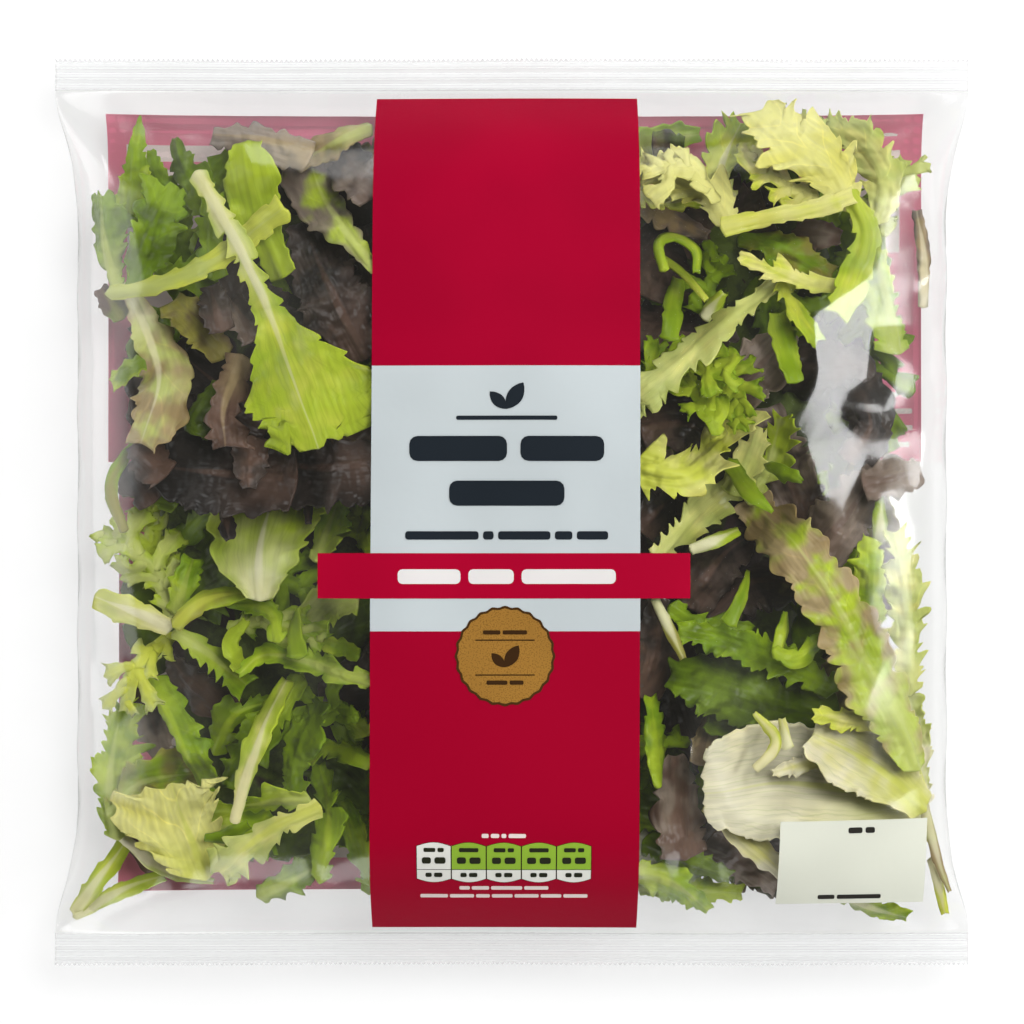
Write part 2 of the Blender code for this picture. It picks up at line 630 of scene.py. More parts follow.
def make_panel():
    outline = [(panel_left(PANEL_BOTTOM), PANEL_BOTTOM), (PANEL_RIGHT - 0.2, PANEL_BOTTOM),
               (PANEL_RIGHT, PANEL_TOP), (panel_left(PANEL_TOP), PANEL_TOP)]
    piece = on_film([flat_shape(outline)], "crimson_panel", PANEL_LIFT)
    finish_piece(piece, ink_material("crimson_ink", srgb(160, 5, 43), srgb(153, 5, 38)))


def make_field():
    outline = [(panel_left(FIELD_BOTTOM), FIELD_BOTTOM), (PANEL_RIGHT, FIELD_BOTTOM),
               (PANEL_RIGHT, FIELD_TOP), (panel_left(FIELD_TOP), FIELD_TOP)]
    piece = on_film([flat_shape(outline)], "pale_field", FIELD_LIFT)
    finish_piece(piece, ink_material("pale_ink", srgb(192, 200, 202)))


def make_banner():
    piece = on_film([flat_shape(box_outline(*BANNER))], "banner", BANNER_LIFT)
    finish_piece(piece, ink_material("banner_ink", srgb(167, 6, 44)))


def make_field_marks():
    """A pair of leaves and plain bars in the field, where a pack carries its name."""
    middle = (PANEL_LEFT_TOP + PANEL_RIGHT) / 2
    shapes = []
    for turn, length in ((58, 9.0), (134, 7.0)):
        shapes.append(flat_shape(leaf_outline(middle, 29.5, length, length * 0.5, math.radians(turn))))
    shapes.append(flat_shape(round_bar(middle - 14.5, 26.4, middle + 14.5, 27.6, 0.5)))
    shapes += print_line(middle, 14.6, 7.2, (28, 24))
    shapes += print_line(middle, 1.8, 7.2, (33,))
    shapes += print_line(middle, -7.9, 2.4, (21, 3, 15, 5, 9))
    piece = on_film(shapes, "field_marks", MARK_LIFT)
    finish_piece(piece, ink_material("slate_ink", srgb(34, 40, 46)))
    pale = print_line(middle, -20.6, 4.2, (18, 13, 27))
    piece = on_film(pale, "banner_marks", MARK_LIFT)
    finish_piece(piece, ink_material("white_ink", srgb(226, 222, 220)))


def make_badge():
    """A round gold seal with a fine scalloped dark rim, two fine lines and a sprig."""
    x, y = BADGE_MIDDLE

    def ring(radius, points, scallop=0.0, beats=0):
        turns = [TURN * i / points - math.pi for i in range(points)]
        return [(x + (radius + scallop * math.cos(beats * t)) * math.cos(t),
                 y + (radius + scallop * math.cos(beats * t)) * math.sin(t)) for t in turns]

    dark = [flat_shape(ring(BADGE_RADIUS, 120, 0.25, 24))]
    piece = on_film(dark, "badge_edge", BANNER_LIFT)
    finish_piece(piece, ink_material("bronze_ink", srgb(70, 46, 22)))
    gold = on_film([flat_shape(ring(BADGE_RADIUS - 0.7, 96, 0.22, 24))], "badge", MARK_LIFT)
    material = ink_material("gold_ink", srgb(176, 128, 58), roughness=0.30)
    material.node_tree.nodes["Principled BSDF"].inputs["Metallic"].default_value = 0.35
    finish_piece(gold, material)
    shapes = []
    for bottom, width in ((y + 4.4, 17.0), (y - 5.6, 17.0)):
        shapes.append(flat_shape(box_outline(x - width / 2, bottom, x + width / 2, bottom + 0.35)))
    for turn, length in ((58, 7.4), (134, 5.6)):
        shapes.append(flat_shape(leaf_outline(x, y - 3.2, length, length * 0.5, math.radians(turn))))
    shapes += print_line(x, y + 6.2, 1.2, (5, 7))
    shapes += print_line(x, y - 8.2, 1.2, (6, 4))
    piece = on_film(shapes, "badge_marks", TOP_MARK_LIFT)
    finish_piece(piece, ink_material("umber_ink", srgb(58, 38, 20)))


CELL_LEFT, CELL_WIDTH, CELL_COUNT = -27.6, 10.1, 5
CELL_TOP, CELL_BOTTOM, CELL_SPLIT, CELL_DOME = -96.0, -106.0, -103.1, 1.1


def cell_outline(left, right, bottom, top, dome_bottom, dome_top):
    """A food-facts cell: straight sides, with a domed top or bottom."""
    points = []
    for step in range(9):
        share = step / 8
        points.append((left + (right - left) * share, bottom - dome_bottom * math.sin(math.pi * share)))
    for step in range(9):
        share = step / 8
        points.append((right - (right - left) * share, top + dome_top * math.sin(math.pi * share)))
    return points


def make_cells():
    """A row of green and white cells, with bars where a pack gives its food facts."""
    edges, greens, whites, marks = [], [], [], []
    for number in range(CELL_COUNT):
        left = CELL_LEFT + CELL_WIDTH * number
        right = left + CELL_WIDTH
        edges.append(flat_shape(cell_outline(left, right, CELL_BOTTOM, CELL_TOP, CELL_DOME, CELL_DOME)))
        inner_left, inner_right = left + 0.18, right - 0.18
        upper = cell_outline(inner_left, inner_right, CELL_SPLIT + 0.1, CELL_TOP - 0.1, 0.0, CELL_DOME)
        lower = cell_outline(inner_left, inner_right, CELL_BOTTOM + 0.1, CELL_SPLIT - 0.1, CELL_DOME, 0.0)
        (whites if number == 0 else greens).append(flat_shape(upper))
        whites.append(flat_shape(lower))
        middle = (left + right) / 2
        marks += print_line(middle, -97.8, 1.2, (5.6,) if number % 2 else (3.4, 1.8))
        marks += print_line(middle, -101.3, 1.9, (2.6, 3.2))
        marks += print_line(middle, -105.4, 1.3, (1.8, 2.4))
    middle = CELL_LEFT + CELL_WIDTH * CELL_COUNT / 2
    pale = print_line(middle, -93.6, 1.2, (2, 2.4, 1.4, 5))
    pale += print_line(middle, -109.4, 1.1, (3, 5, 9, 7))
    pale += print_line(middle, -112.0, 1.1, (8, 7, 4, 6, 7, 6, 7))
    for shapes, name, lift, colour in (
        (edges, "cell_edges", FIELD_LIFT, srgb(44, 34, 26)),
        (greens, "cell_greens", BANNER_LIFT, srgb(142, 178, 58)),
        (whites, "cell_whites", BANNER_LIFT, srgb(226, 226, 218)),
        (marks, "cell_marks", MARK_LIFT, srgb(40, 42, 30)),
        (pale, "cell_lines", FIELD_LIFT, srgb(232, 216, 212)),
    ):
        finish_piece(on_film(shapes, name, lift), ink_material(name + "_ink", colour))


def make_date_label():
    left, bottom, right, top = LABEL
    outline = [(left - 0.3, bottom), (right - 0.8, bottom), (right, top), (left + 0.3, top)]
    piece = on_film([flat_shape(outline)], "date_label", PANEL_LIFT, 2.0)
    finish_piece(piece, ink_material("label_ink", srgb(222, 224, 209), roughness=0.42))
    shapes = print_line(101.5, -93.2, 1.7, (4.2, 2.8))
    shapes += print_line(98.5, -113.0, 1.3, (5.0, 13.0))
    piece = on_film(shapes, "label_marks", FIELD_LIFT, 2.0)
    finish_piece(piece, ink_material("label_mark_ink", srgb(48, 46, 42)))


# The back print: its whole field, then the pale windows in it, and bars where it has small print.
BACK_FIELDS = ((-121.0, 15.0, 122.5, 118.5), (-118.0, -113.5, 34.0, 16.0))
BACK_WINDOWS = ((-115.6, 105.4, -56.0, 110.2), (-115.6, 60.0, -6.0, 103.0), (92.0, 78.0, 116.4, 108.6),
                (6.0, 28.0, 108.0, 72.0), (-106.0, -104.0, 26.0, 8.0))
BACK_LINES = ((-90.0, 113.6, 1.2, (7, 4, 9, 6, 3, 8)), (104.0, 112.6, 1.2, (6, 3, 8, 4)),
              (116.0, 34.5, 1.6, (4, 3)), (115.6, 29.5, 1.6, (3, 5)), (115.8, 24.5, 1.6, (5, 3)),
              (115.4, 19.5, 1.6, (3, 4)), (-114.5, -30.0, 1.2, (2, 2)), (-114.5, -36.0, 1.2, (3, 1)))


def make_back_print():
    """Fields with pale windows of small print: crimson from behind, and pink from inside the bag."""
    pink, blush = srgb(255, 148, 174), srgb(255, 236, 232)
    crimson, ivory = srgb(176, 14, 50), srgb(232, 226, 216)
    for name, shapes, deep, colour in (
        ("back_inner_marks", "windows", 0.04, blush),
        ("back_inner", "fields", 0.12, pink),
        ("back_panel", "fields", 0.17, crimson),
        ("back_windows", "windows", 0.27, ivory),
    ):
        if shapes == "fields":
            flats = [flat_shape(box_outline(*field)) for field in BACK_FIELDS]
        else:
            flats = [flat_shape(box_outline(*window)) for window in BACK_WINDOWS]
            for middle, bottom, height, words in BACK_LINES:
                flats += print_line(middle, bottom, height, words)
        piece = on_film(flats, name, deep * MM, 3.0, back_film, -1.0)
        finish_piece(piece, ink_material(name + "_ink", colour))


# ---------------------------------------------------------------- leaves: the space they lie in

CELL = 1.0 * MM
MAP_X = np.arange(-SEAL_WIDTH / 2, SEAL_WIDTH / 2 + CELL, CELL)
MAP_Y = np.arange(-BAG_LENGTH / 2, BAG_LENGTH / 2 + CELL, CELL)
FILM_GAP = 0.7 * MM
LEAF_GAP = 0.35 * MM
# Leaves are pressed flatter, and closer together, the further they are from the film.
PRESSED_WITHIN = 16 * MM
FLATTEST = 0.3
# A leaf lies against a surface that is calmed over this many cells, and worked out this far round it.
CALM_REACH = 3
CALM_MARGIN = 14
# A leaf's own lobes lie this much lower than its stalk, in millimetres.
LOBE_DROP = 0.3
# How much thicker a leaf is along its midrib, and the steps that its thickness is rounded to.
RIB_SWELL = 2.2
RIB_STEPS = 24


class Layer:
    """A height map that leaves are laid against, one after another, each further from the film.

    sign is 1 for the front film, which leaves are laid under, and -1 for the back film.
    """

    def __init__(self, film, sign):
        across, along = np.meshgrid(MAP_X, MAP_Y)
        self.sign = sign
        self.start = sign * film(across, along) - FILM_GAP
        self.free = self.start.copy()

    def calm(self, window, reach):
        """A smooth surface that touches, and never passes, what has been laid."""
        rows, columns = window
        rough = self.free[rows, columns]
        low = slide(slide(rough, 2 * reach, 0), 2 * reach, 1)
        for _ in range(2):
            low = spread(spread(low, reach, 0), reach, 1)
        return low

    def lay(self, x, y, z, gap):
        """Marks the space down to z as taken."""
        column = np.round((x - MAP_X[0]) / CELL).astype(int)
        row = np.round((y - MAP_Y[0]) / CELL).astype(int)
        for down in (-1, 0, 1):
            for right in (-1, 0, 1):
                r = np.clip(row + down, 0, len(MAP_Y) - 1)
                c = np.clip(column + right, 0, len(MAP_X) - 1)
                np.minimum.at(self.free, (r, c), self.sign * z - gap)

    def covered(self):
        """How far the free space has gone back from the film, at each cell."""
        return self.start - self.free


def slide(values, reach, axis):
    """The least value within reach cells along one axis."""
    padding = [(0, 0), (0, 0)]
    padding[axis] = (reach, reach)
    padded = np.pad(values, padding, mode="edge")
    size = values.shape[axis]
    least = values.copy()
    for shift in range(2 * reach + 1):
        part = padded[shift:shift + size] if axis == 0 else padded[:, shift:shift + size]
        least = np.minimum(least, part)
    return least


def spread(values, reach, axis):
    """The mean within reach cells along one axis."""
    padding = [(0, 0), (0, 0)]
    padding[axis] = (reach + 1, reach)
    total = np.cumsum(np.pad(values, padding, mode="edge"), axis=axis)
    width = 2 * reach + 1
    if axis == 0:
        return (total[width:] - total[:-width]) / width
    return (total[:, width:] - total[:, :-width]) / width


def window_round(x, y, margin):
    """The rows and columns of the maps round some points."""
    left = max(0, int((x.min() - MAP_X[0]) / CELL) - margin)
    right = min(len(MAP_X), int((x.max() - MAP_X[0]) / CELL) + margin + 2)
    bottom = max(0, int((y.min() - MAP_Y[0]) / CELL) - margin)
    top = min(len(MAP_Y), int((y.max() - MAP_Y[0]) / CELL) + margin + 2)
    return slice(bottom, top), slice(left, right)


def read_map(values, window, x, y):
    """Values between the cells of a window, by their four neighbours."""
    rows, columns = window
    across = np.clip((x - MAP_X[columns.start]) / CELL, 0, values.shape[1] - 1.001)
    along = np.clip((y - MAP_Y[rows.start]) / CELL, 0, values.shape[0] - 1.001)
    c, r = across.astype(int), along.astype(int)
    fx, fy = across - c, along - r
    near = values[r, c] * (1 - fx) + values[r, c + 1] * fx
    far = values[r + 1, c] * (1 - fx) + values[r + 1, c + 1] * fx
    return near * (1 - fy) + far * fy


# ---------------------------------------------------------------- leaves: their growth


class Kind:
    """How one kind of leaf grows. Lengths are in millimetres.

    teeth are (spacing, depth) along its edge, and lobes are (spacing, share of the width cut away). The form
    of both is "tooth", "round" or "wave". ruffle is (height, spacing) of its edge's waves, sweep how far its
    sides lean towards its tip, and quilt the height of its blisters. profile is its half width along it, as
    shares.
    """

    def __init__(self, teeth, lobes, form, ruffle, sweep, quilt, profile, stalk=0.0, thickness=0.35):
        self.teeth = teeth
        self.lobes = lobes
        self.form = form
        self.ruffle = ruffle
        self.sweep = sweep
        self.quilt = quilt
        self.profile = profile
        self.stalk = stalk
        self.thickness = thickness


KINDS = {
    # Cut to its narrow stalk into spiky side lobes, which are grown one by one.
    "frisee": Kind((3.8, 1.8), (9, 0.4), "tooth", (1.6, 15), 0.5, 0.15, (0.2, 0.7, 1.0, 0.9, 0.5), stalk=1.6),
    # The side lobes themselves: an arm that widens to a hand of points.
    "lobe": Kind((3.0, 2.4), (6, 0.3), "tooth", (0.9, 10), 0.55, 0.10, (0.5, 0.8, 1.0, 0.8, 0.2)),
    # A broad blade that is cut deep and curled at its edge.
    "curly": Kind((3.8, 2.8), (9.0, 0.46), "tooth", (2.6, 11), 0.6, 0.35, (0.3, 0.8, 1.0, 0.9, 0.6)),
    # A blade cut into a few long points, like antlers.
    "antler": Kind((4.6, 3.0), (10.5, 0.60), "tooth", (1.8, 17), 0.65, 0.20, (0.3, 0.8, 1.0, 0.9, 0.6)),
    # The broad pale leaves of a lettuce's heart.
    "heart": Kind((4.0, 1.0), (15, 0.12), "tooth", (2.2, 21), 0.25, 0.12, (0.3, 0.7, 1.0, 0.95, 0.7),
                  thickness=0.45),
    # Broad green blades with a wavy, toothed edge.
    "batavia": Kind((3.8, 2.2), (11, 0.32), "tooth", (2.8, 15), 0.40, 0.45, (0.3, 0.7, 1.0, 0.95, 0.7)),
    # Dark red leaves with a tightly curled edge of small round lobes.
    "lollo": Kind((5.2, 2.7), (13, 0.30), "round", (2.6, 13), 0.20, 0.45, (0.3, 0.8, 1.0, 0.95, 0.8)),
    # Long leaves on a broad pale midrib.
    "oak": Kind((4.4, 1.5), (12, 0.30), "wave", (2.2, 19), 0.35, 0.40, (0.3, 0.7, 1.0, 0.9, 0.6)),
    # A long stalk that fans out to a toothed blade.
    "fan": Kind((5.0, 3.4), (13, 0.20), "tooth", (1.5, 22), 0.35, 0.12, (0.2, 0.25, 0.4, 0.9, 1.0),
                thickness=0.45),
    # A bare stalk with a narrow toothed wing on each side.
    "stem": Kind((7.0, 1.9), (14, 0.12), "tooth", (0.6, 20), 0.35, 0.05, (0.8, 0.9, 1.0, 1.0, 0.9),
                 thickness=0.6),
}


def curve_through(knots, count):
    """Evenly spaced points on a smooth curve through a few points, and the curve's length."""
    knots = np.array(knots, dtype=float)
    if len(knots) == 2:
        knots = np.array([knots[0], knots.mean(axis=0), knots[1]])
    padded = np.vstack([2 * knots[0] - knots[1], knots, 2 * knots[-1] - knots[-2]])
    u = np.linspace(0.0, 1.0, 24, endpoint=False)[:, None]
    pieces = []
    for a, b, c, d in zip(padded, padded[1:], padded[2:], padded[3:]):
        square, cube = 2 * a - 5 * b + 4 * c - d, 3 * b - 3 * c + d - a
        pieces.append(0.5 * (2 * b + (c - a) * u + square * u**2 + cube * u**3))
    dense = np.vstack(pieces + [knots[-1:]])
    run = np.concatenate([[0.0], np.cumsum(np.hypot(*np.diff(dense, axis=0).T))])
    even = np.linspace(0.0, run[-1], count)
    return np.interp(even, run, dense[:, 0]), np.interp(even, run, dense[:, 1]), run[-1]


def smooth_line(widths, along):
    """Widths given at even steps along a leaf, joined by a line without corners."""
    steps = np.linspace(0.0, 1.0, len(widths))
    total = 0.0
    for shift in (-0.06, -0.03, 0.0, 0.03, 0.06):
        moved = np.clip(along + shift * (along > 0.02) * (along < 0.98), 0.0, 1.0)
        total = total + np.interp(moved, steps, widths)
    return total / 5


def cuts_along(run, spacing, form, rng):
    """How deep an edge is cut at each length along it, from 0 to 1, between unevenly spaced points."""
    marks = [-spacing * rng.random()]
    depths = []
    while marks[-1] <= np.max(run):
        marks.append(marks[-1] + spacing * rng.uniform(0.4, 1.7))
        depths.append(rng.uniform(0.05, 0.35) if rng.random() < 0.3 else rng.uniform(0.4, 1.0))
    marks, depths = np.array(marks), np.array(depths)
    which = np.clip(np.searchsorted(marks, run, side="right") - 1, 0, len(depths) - 1)
    share = np.clip((run - marks[which]) / (marks[which + 1] - marks[which]), 0.0, 1.0)
    if form == "tooth":
        out = np.where(share < 0.80, (share / 0.80) ** 2.2, (1.0 - share) / 0.20)
    elif form == "round":
        out = np.sqrt(1.0 - (2.0 * share - 1.0) ** 2)
    else:
        out = np.sin(np.pi * share)
    return (1.0 - out) * depths[which]


class Blade:
    """One blade's grid of points: its place on the flat leaf, and its place and relief in the bag."""

    def __init__(self, kind, spine, left, right, rng, fine, ruffle, curl, blunt, cup=0.0):
        spread_of = max(max(left), max(right))
        span = sum(math.dist(a, b) for a, b in zip(spine, spine[1:]))
        rows = int(np.clip(span * fine / 0.8, 7, 140)) + 1
        columns = 2 * int(np.clip(spread_of * 0.75 * fine, 2, 13)) + 1
        spine_x, spine_y, length = curve_through(spine, rows)
        turn = np.unwrap(np.arctan2(np.gradient(spine_y), np.gradient(spine_x)))[:, None]

        along = np.linspace(0.0, 1.0, rows)[:, None]
        across = np.linspace(-1.0, 1.0, columns)[None, :]
        across = np.sign(across) * (1.0 - (1.0 - np.abs(across)) ** 1.25)
        side = np.abs(across)
        run = along * length
        edges = []
        for widths in (right, left):
            wide = smooth_line(widths, along)
            small = np.minimum(1.0, (wide / 4.8) ** 1.6)
            started = smooth_step(0.0, 0.08, along)
            cut = kind.teeth[1] * small * cuts_along(run, kind.teeth[0], kind.form, rng)
            deep = kind.lobes[1] * wide * smooth_step(1.5, 5.5, wide)
            deep = deep * cuts_along(run, kind.lobes[0], kind.form, rng)
            edges.append(np.maximum(wide - (cut + deep) * started, 0.12))
        reach = np.where(across < 0, edges[0], edges[1])

        waves = []
        for _ in range(2):
            drift = rng.uniform(0.1, 0.25) * np.sin(TURN * (along * 2.1 + rng.random()))
            waves.append(rng.random() + drift)
        phase = TURN * (run / kind.ruffle[1] + np.where(across < 0, waves[0], waves[1]))
        size = kind.ruffle[0] * ruffle * np.minimum(1.0, reach / 7.0) * smooth_step(0.0, 0.3, along)
        rolled = np.clip((side - 0.70) / 0.30, 0.0, 1.0)
        rolled = rolled * curl * smooth_step(-0.2, 0.5, np.sin(phase * 0.31 + 1.7))
        offset = across * reach * (1.0 - 0.45 * rolled**1.4)
        offset = offset - 0.40 * size * np.sign(across) * side**3 * np.cos(2.0 * phase)
        forward = kind.sweep * side**1.3 * reach + 0.3 * size * side**2 * np.sin(phase + 0.8)
        if blunt:
            sideways = across * edges[0][-1]
            rounded = (1.0 - side**2) * 0.3 * reach[-1].mean()
            jagged = kind.teeth[1] * 1.3 * cuts_along(sideways + edges[0][-1], kind.teeth[0], kind.form, rng)
            forward = forward + (rounded - jagged - forward * 0.6) * smooth_step(0.72, 1.0, along)
        self.x = spine_x[:, None] + forward * np.cos(turn) - offset * np.sin(turn)
        self.y = spine_y[:, None] + forward * np.sin(turn) + offset * np.cos(turn)

        self.along, self.side = np.broadcast_to(along, self.x.shape), np.broadcast_to(side, self.x.shape)
        self.reach, self.kind = reach, kind
        self.flat_t, self.flat_s = across * reach, run + kind.sweep * side * reach
        self.rib = np.exp(-((self.flat_t / (0.7 + spread_of * 0.045)) ** 2)) * (1.0 - 0.7 * along)
        quilting = kind.quilt * np.cos(TURN * (self.flat_s - np.abs(self.flat_t)) / 8.0) * side
        frill = 0.35 * size * side**4 * np.sin(2.6 * phase + 1.0)
        self.wave = size * side**1.7 * np.sin(phase) + frill + quilting
        self.relief = self.wave + 0.7 * self.rib + 1.0 * rolled + cup * side**2
        self.slack = size.mean() * 0.7 + 0.8 * rolled.max() + max(cup, 0.0)


def side_lobes(kind, spine, left, right, rng, fine, ruffle):
    """The arms along a deeply cut leaf's stalk, each as far out as its edge is to reach there."""
    count = 60
    x, y, length = curve_through(spine, count)
    turn = np.unwrap(np.arctan2(np.gradient(y), np.gradient(x)))
    lobes = []
    for sign, widths in ((1, left), (-1, right)):
        run = length * rng.uniform(0.06, 0.18)
        while run < length * 0.99:
            at = int(run / length * (count - 1))
            far = smooth_line(widths, np.array([[run / length]])).item() * rng.uniform(0.75, 1.7)
            run += rng.uniform(0.6, 1.4) * max(5.0, 0.62 * far)
            if far < kind.stalk + 1.0:
                continue
            lean = turn[at] + sign * rng.uniform(0.5, 1.25)
            bend = -sign * rng.uniform(-0.6, 1.2)
            middle = (x[at] + 0.5 * far * math.cos(lean), y[at] + 0.5 * far * math.sin(lean))
            beyond = 0.6 * far
            tip = (middle[0] + beyond * math.cos(lean + bend), middle[1] + beyond * math.sin(lean + bend))
            wide = far * rng.uniform(0.16, 0.30) + 0.8
            outline = [0.8 * wide, 0.55 * wide, 0.8 * wide, 1.4 * wide, 1.2 * wide]
            lobes.append(Blade(KINDS["lobe"], [(x[at], y[at]), middle, tip], outline, outline, rng,
                               fine * 1.1, ruffle, 0.0, True))
    return lobes


def grow_leaf(layer, other, kind_name, hues, spine, left, right, curl=0.0, ruffle=1.0, fine=1.0, sunk=0.0,
              blunt=False, cup=0.0, seed=0):
    """Grows one leaf along its spine against what lies over it, and returns its object.

    fine is how closely its points lie. sunk is how far under its neighbours it lies and cup how deep it is
    hollowed, in millimetres. A leaf without a hue for its heel has a pale one, or a brown one if it is red.
    """
    kind = KINDS[kind_name]
    colours = [HUES[name] for name in hues]
    if len(hues) == 2:
        colours.append(HUES["brown" if kind_name == "lollo" else "cream"])
    rng = random.Random(seed)
    if kind.stalk:
        wing_left = [min(w, kind.stalk + 0.12 * w) for w in left]
        wing_right = [min(w, kind.stalk + 0.12 * w) for w in right]
        blades = [Blade(kind, spine, wing_left, wing_right, rng, fine, ruffle, 0.0, False)]
        blades += side_lobes(kind, spine, left, right, rng, fine, ruffle)
    else:
        blades = [Blade(kind, spine, left, right, rng, fine, ruffle, curl, blunt, cup)]
    crumple = Crumple(rng, 1.5 * ruffle, blades[0])
    token = rng.random()
    pieces, laid = [], []
    for number, blade in enumerate(blades):
        x, y = keep_inside(blade.x * MM, blade.y * MM)
        window = window_round(x, y, CALM_MARGIN)
        film_side = read_map(layer.calm(window, CALM_REACH), window, x, y)
        buried = read_map(layer.start[window], window, x, y) - film_side
        room = np.maximum(FLATTEST, np.exp(-buried / PRESSED_WITHIN))
        folded = crumple.at(blade.x, blade.y)
        down = blade.slack + sunk + folded - blade.relief + (LOBE_DROP if number else 0.0)
        # How far each point dips below the leaf's mean bend: the skin darkens there with painted shade.
        hollow_shade = folded - crumple.mean - blade.wave
        z = film_side - room * soft_floor(down, 0.35) * MM
        # It stays clear of what has been laid against the other film, and of that film.
        other_side = -read_map(other.free[window], window, x, y)
        z = np.maximum(z, np.minimum(other_side + 0.6 * MM, film_side - 0.2 * MM))
        thick = kind.thickness * (1.0 + RIB_SWELL * blade.rib)
        z = np.maximum(z, thick * MM - read_map(other.start[window], window, x, y))
        z = layer.sign * np.minimum(z, read_map(layer.start[window], window, x, y))
        pieces.append(blade_piece(blade, x, y, z, hollow_shade, token, colours))
        laid.append((x.ravel(), y.ravel(), (z - layer.sign * thick * MM).ravel()))
    piece = join(pieces, "leaf")
    apply_modifier(piece, "SOLIDIFY", thickness=kind.thickness * (1.0 + RIB_SWELL) * MM, offset=-layer.sign,
                   vertex_group="rib", use_even_offset=False)
    for x, y, z in laid:
        layer.lay(x, y, z, LEAF_GAP)
    piece.data.shade_smooth()
    return piece


def blade_piece(blade, x, y, z, hollow_shade, token, colours):
    """A grid shaped to a blade, with the marks that its skin reads."""
    rows, columns = x.shape
    bpy.ops.mesh.primitive_grid_add(x_subdivisions=columns - 1, y_subdivisions=rows - 1, size=2.0)
    piece = name_piece("blade")
    order = points_of(piece)
    at = (np.round((order[:, 1] + 1.0) / 2 * (rows - 1)).astype(int),
          np.round((order[:, 0] + 1.0) / 2 * (columns - 1)).astype(int))
    move_points(piece, np.stack([x[at], y[at], z[at]], axis=1))
    even = np.ones(len(order))
    write_marks(piece, "flat", blade.flat_t[at] / 10, blade.flat_s[at] / 10, even * token * 40)
    write_marks(piece, "place", blade.along[at], blade.side[at], blade.reach[at] / 10)
    # The dips, which the skin darkens with painted shade.
    write_marks(piece, "hollow_shade", hollow_shade[at], even, even)
    for name, colour in zip(("hue", "rim", "heel"), colours):
        write_marks(piece, name, even * colour[0], even * colour[1], even * colour[2])
    group = piece.vertex_groups.new(name="rib")
    steps = np.round((1.0 + RIB_SWELL * blade.rib[at]) / (1.0 + RIB_SWELL) * RIB_STEPS) / RIB_STEPS
    for value in np.unique(steps):
        group.add([int(i) for i in np.nonzero(steps == value)[0]], float(value), "REPLACE")
    return piece


def write_marks(piece, name, first, second, third):
    """Stores three numbers at each point, for the materials to read."""
    marks = piece.data.attributes.new(name, "FLOAT_VECTOR", "POINT")
    marks.data.foreach_set("vector", np.stack([first, second, third], axis=1).astype(np.float32).ravel())


class Crumple:
    """Broad, uneven bends and a few sharper folds over a whole leaf, in millimetres."""

    def __init__(self, rng, height, blade):
        self.waves = []
        for length in (13.0, 23.0, 41.0):
            turn = rng.uniform(0, TURN)
            across, along = math.cos(turn) / length, math.sin(turn) / length
            self.waves.append((across, along, rng.random(), height * length / 60))
        self.mean = sum(wave[3] for wave in self.waves)
        self.folds = []
        rows, columns = blade.x.shape
        for _ in range(int(2 + rows * columns / 260)):
            row, column = rng.randrange(rows), rng.randrange(columns)
            turn, length = rng.uniform(0, TURN), rng.uniform(8, 22)
            start = (blade.x[row, column], blade.y[row, column])
            self.folds.append((start, turn, length, rng.uniform(-0.8, 0.8) * height, rng.uniform(1.2, 2.6)))

    def at(self, x, y):
        down = sum(size * (1.0 + np.sin(TURN * (x * a + y * b + start))) for a, b, start, size in self.waves)
        for (x0, y0), turn, length, height, softness in self.folds:
            along = ((x - x0) * math.cos(turn) + (y - y0) * math.sin(turn)) / length
            off = (x - x0) * math.sin(turn) - (y - y0) * math.cos(turn)
            fade = np.sin(np.pi * np.clip(along, 0.0, 1.0))
            down = down + height * fade * np.exp(-np.sqrt(off**2 + 0.3) / softness)
        return down


def soft_floor(value, ease):
    """The value, held above 0 without a corner."""
    return 0.5 * (value + np.sqrt(value**2 + ease**2))


def keep_inside(x, y):
    """Draws leaf points that would pass the bag's sides or end seals back inside."""
    y = soft_limit(y, SEAL_START - 2.0 * MM, 4 * MM)
    return soft_limit(x, half_width(y) - 1.4 * MM, 4 * MM), y


def soft_limit(value, limit, ease):
    """The value, held between -limit and limit, and eased over the last stretch before them."""
    over = np.abs(value) - (limit - ease)
    held = (limit - ease) + ease * np.tanh(np.maximum(over, 0.0) / ease)
    return np.where(over > 0.0, np.sign(value) * held, value)


# ---------------------------------------------------------------- leaves: their colours

HUES = {
    "cream": srgb(255, 249, 218),
    "butter": srgb(242, 238, 146),
    "lemon": srgb(224, 230, 88),
    "lime": srgb(192, 212, 54),
    "leaf": srgb(148, 178, 24),
    "moss": srgb(112, 138, 20),
    "forest": srgb(82, 102, 18),
    "sage": srgb(210, 218, 126),
    "olive": srgb(156, 150, 62),
    "tan": srgb(184, 162, 116),
    "mauve": srgb(144, 128, 114),
    "brown": srgb(106, 82, 69),
    "plum": srgb(75, 64, 58),
    "ink": srgb(46, 41, 39),
}


